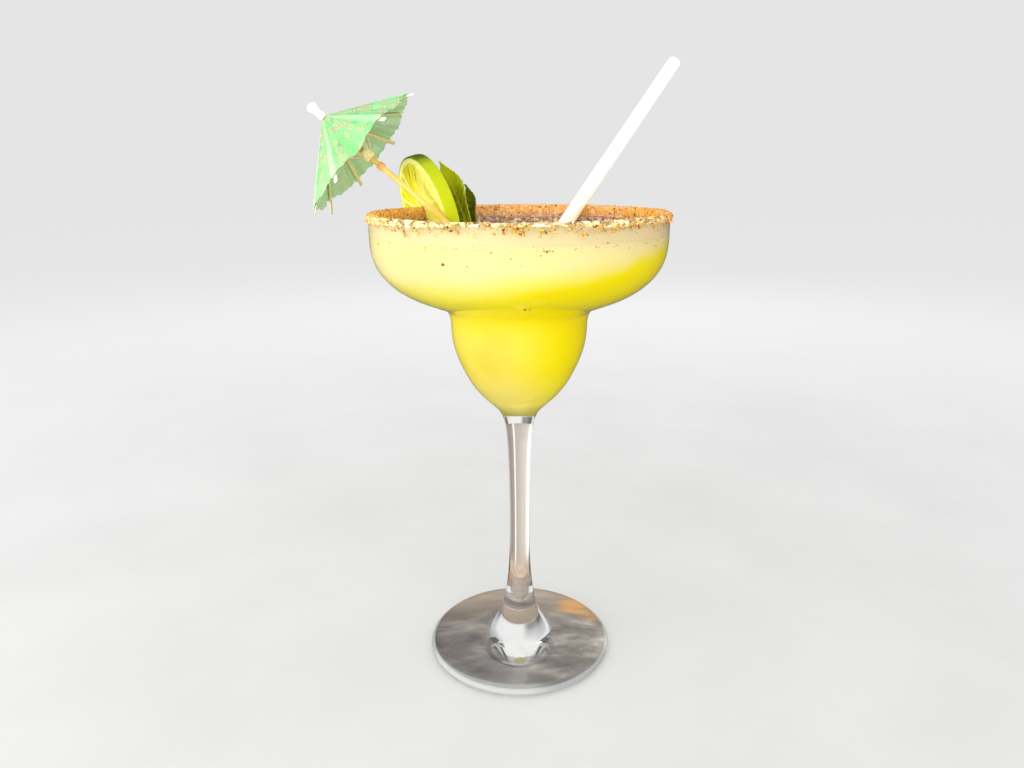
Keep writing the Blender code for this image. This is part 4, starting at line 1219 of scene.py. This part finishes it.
def umbrella_paper(name, ground, shade, shadow, strength):
    made = Finish(name, rough=0.7, sheen=0.1)
    flat = unrolled(made)
    fibre = made.noise(0.0016, detail=4)
    cloudy = made.noise(0.009, detail=2)
    tint = made.mix(made.between(cloudy, 0.35, 0.7), ground, shade)
    tint = made.mix(made.between(fibre, 0.3, 0.7, 0.0, 0.2), tint, paint(196, 232, 186))
    leaves = made.sum("MAXIMUM", sprig(made, flat, 6.5, 2.1, 3.0),
                      sprig(made, flat, 8.0, 2.6, 40.0))
    tint = made.mix(made.times(leaves, 0.62 * strength), tint, paint(60, 168, 130))
    for size, petal, shift in ((6.4, 2.1, 11.0), (5.2, 1.6, 71.0)):
        line, fill, eye = blossom(made, flat, size, petal, shift)
        tint = made.mix(made.times(fill, 0.24 * strength), tint, paint(204, 210, 166))
        tint = made.mix(made.times(line, 0.75 * strength), tint, paint(200, 104, 112))
        tint = made.mix(made.times(eye, 0.6 * strength), tint, paint(186, 60, 80))
    rib = made.reading("rib")
    # painted highlight along each rib, and painted shade in the hollow just beside it
    tint = made.mix(made.between(rib, 0.93, 1.0, 0.0, 0.6), tint, paint(186, 240, 176))
    hollow_shade = made.times(made.between(rib, 0.76, 0.86), made.between(rib, 0.88, 0.96, 1.0, 0.0))
    made.colour(made.mix(made.times(hollow_shade, 0.4), tint, shadow))
    made.bump(fibre, 0.05 * MM, 0.4)
    return made.material


outside = umbrella_paper("green paper outside", paint(108, 194, 106), paint(130, 204, 126),
                         paint(92, 182, 96), 1.0)
# the inside: the paper's back, greyer, with the print faint through it, and painted brighter for
# the light that shines through the paper
inside = umbrella_paper("green paper inside", paint(162, 204, 168), paint(172, 212, 178),
                        paint(140, 178, 146), 0.3)
dress(canopy, inside, "umbrella_paper", "umbrella_canopy")
canopy.data.materials.append(outside)

# %% [markdown]
# ## Bamboo and card
# The stick, the ribs and the struts are split bamboo: pale, with a fine grain along the length.
# The ribs and the struts are right as they stand in the frame, so they only get the finish.
# The stick and the small turned pieces are made again with more sides.

# %% Bamboo finish


def bamboo(name, stretch, dark, middle, light):
    """Pale wood; stretch draws its grain out along an axis."""
    made = Finish(name, rough=0.5)
    grain = made.noise(0.0007, detail=4, rough=0.6, stretch=stretch)
    stain = made.noise(0.004, detail=2)
    tint = made.ramp(grain, [(0.3, dark), (0.5, middle), (0.7, light)])
    made.colour(made.mix(made.between(stain, 0.45, 0.75, 0.0, 0.5), tint, middle))
    made.bump(grain, 0.06 * MM, 0.5)
    return made


# painted shade: the strips are a greyer tan than the stick, for where they sit under the paper
SHADED_STRIP_TINTS = (paint(186, 176, 128), paint(206, 198, 152), paint(220, 214, 170))
EVEN = (1.0, 1.0, 1.0)
LIT_TIP_RIBS = ("umbrella_rib_1", "umbrella_rib_2", "umbrella_rib_3")
# painted light: the rib tips that stick out past the paper are painted pale from this far from the
# top of the cone
PALE_FROM = (0.0341, 0.0347)
split_bamboo = bamboo("bamboo strips", EVEN, *SHADED_STRIP_TINTS)
lit_tips = bamboo("bamboo strips with pale ends", EVEN, *SHADED_STRIP_TINTS)
wood_tint = lit_tips.shader.inputs["Base Color"].links[0].from_socket
from_top = lit_tips.node("VectorMath", {0: lit_tips.place(), 1: CANOPY_APEX}, operation="DISTANCE")
lit_tips.colour(lit_tips.mix(lit_tips.between(from_top.outputs["Value"], *PALE_FROM), wood_tint,
                         paint(252, 252, 240)))
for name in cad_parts:
    if name.startswith(("umbrella_rib_", "umbrella_strut_")):
        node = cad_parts[name]
        node.data.materials.clear()
        node.data.materials.append((lit_tips if name in LIT_TIP_RIBS else split_bamboo).material)

# %% Stick
STICK_RADIUS = 1.05 * MM
STICK_LENGTH = 116.0 * MM
STICK_ROWS = 400
STICK_SIDES = 40

stick_z = np.linspace(1.2 * MM, STICK_LENGTH, STICK_ROWS)
taper = np.clip((STICK_LENGTH - stick_z) / (9 * MM), 0.12, 1.0)
stick_points = turn(np.stack([STICK_RADIUS * taper, stick_z], -1), STICK_SIDES)[::-1]
stick_turn = np.arctan2(stick_points[..., 1], stick_points[..., 0])
flats = 0.035 * np.sin(stick_turn * 3 + 1) + 0.02 * np.sin(stick_turn * 7) - 0.045
knots = soft_noise(stick_points[..., 2] / 0.004, stick_turn, 0.0, seed=71, octaves=2)
stick_points[..., :2] *= (1 + flats + 0.02 * knots)[..., None]
stick = grid("bamboo_stick", stick_points, ends=True)
stick.matrix_world = umbrella_frame
cane = bamboo("bamboo stick", (1.0, 1.0, 0.08), paint(208, 150, 66), paint(234, 190, 92),
              paint(244, 212, 124))
dress(stick, cane.material, "bamboo", "umbrella_stick")

# %% Finial, hub, runner and stop
BORE_MM = STICK_RADIUS / MM + 0.3
SMALL_SIDES = 48


def ring(name, line_mm):
    """A small ring round the stick, from a closed outline that starts down its outer side."""
    line = np.array(line_mm) * MM
    fine = [a + (b - a) * k for a, b in zip(line, np.roll(line, -1, axis=0))
            for k in (0.0, 0.15, 0.5, 0.85)]
    made = grid(name, turn(fine, SMALL_SIDES), loop=True)
    made.matrix_world = umbrella_frame
    return made


card = Finish("pale card", rough=0.6)
card_fibre = card.noise(0.0008, detail=4)
card.colour(card.ramp(card_fibre, [(0.35, (238, 234, 210)), (0.65, (253, 252, 240))]))
card.bump(card_fibre, 0.08 * MM, 0.5)

finial_line = smooth_line([(0.0, 0.9), (1.35, 0.9), (1.5, 0.4), (1.45, -3.0), (1.9, -3.9),
                           (2.05, -5.0), (1.4, -5.9), (0.0, -6.1)])
finial = grid("umbrella_knob", turn(finial_line * MM, SMALL_SIDES))
finial.matrix_world = umbrella_frame
dress(finial, card.material, "pale_card", "umbrella_finial")

hub = ring("crown_hub", [(2.6, 6.0), (3.0, 5.6), (1.9, 3.2), (BORE_MM, 3.0), (BORE_MM, 6.0)])
dress(hub, card.material, "pale_card", "umbrella_crown_hub")
top, low = CANOPY_HEIGHT / MM + 2.4, CANOPY_HEIGHT / MM - 1.4
runner = ring("runner_sleeve", [(1.8, top), (2.1, top - 0.4), (2.1, low), (BORE_MM, low),
                                (BORE_MM, top)])
buff = Finish("buff card", rough=0.6)
buff.colour(buff.ramp(buff.noise(0.0008), [(0.35, (234, 214, 150)), (0.65, (248, 238, 190))]))
dress(runner, buff.material, "pale_card", "umbrella_runner")

gum = Finish("orange stop", rough=0.45)
gum.colour(gum.ramp(gum.noise(0.001), [(0.3, (222, 146, 74)), (0.7, (240, 180, 110))]))
high, under = CANOPY_HEIGHT / MM + 8.0, CANOPY_HEIGHT / MM + 5.8
stop = ring("stop_ring", [(1.48, high), (1.58, (high + under) / 2), (1.48, under),
                          (BORE_MM, under), (BORE_MM, high)])
dress(stop, gum.material, "stop_rubber", "umbrella_stop_ring")
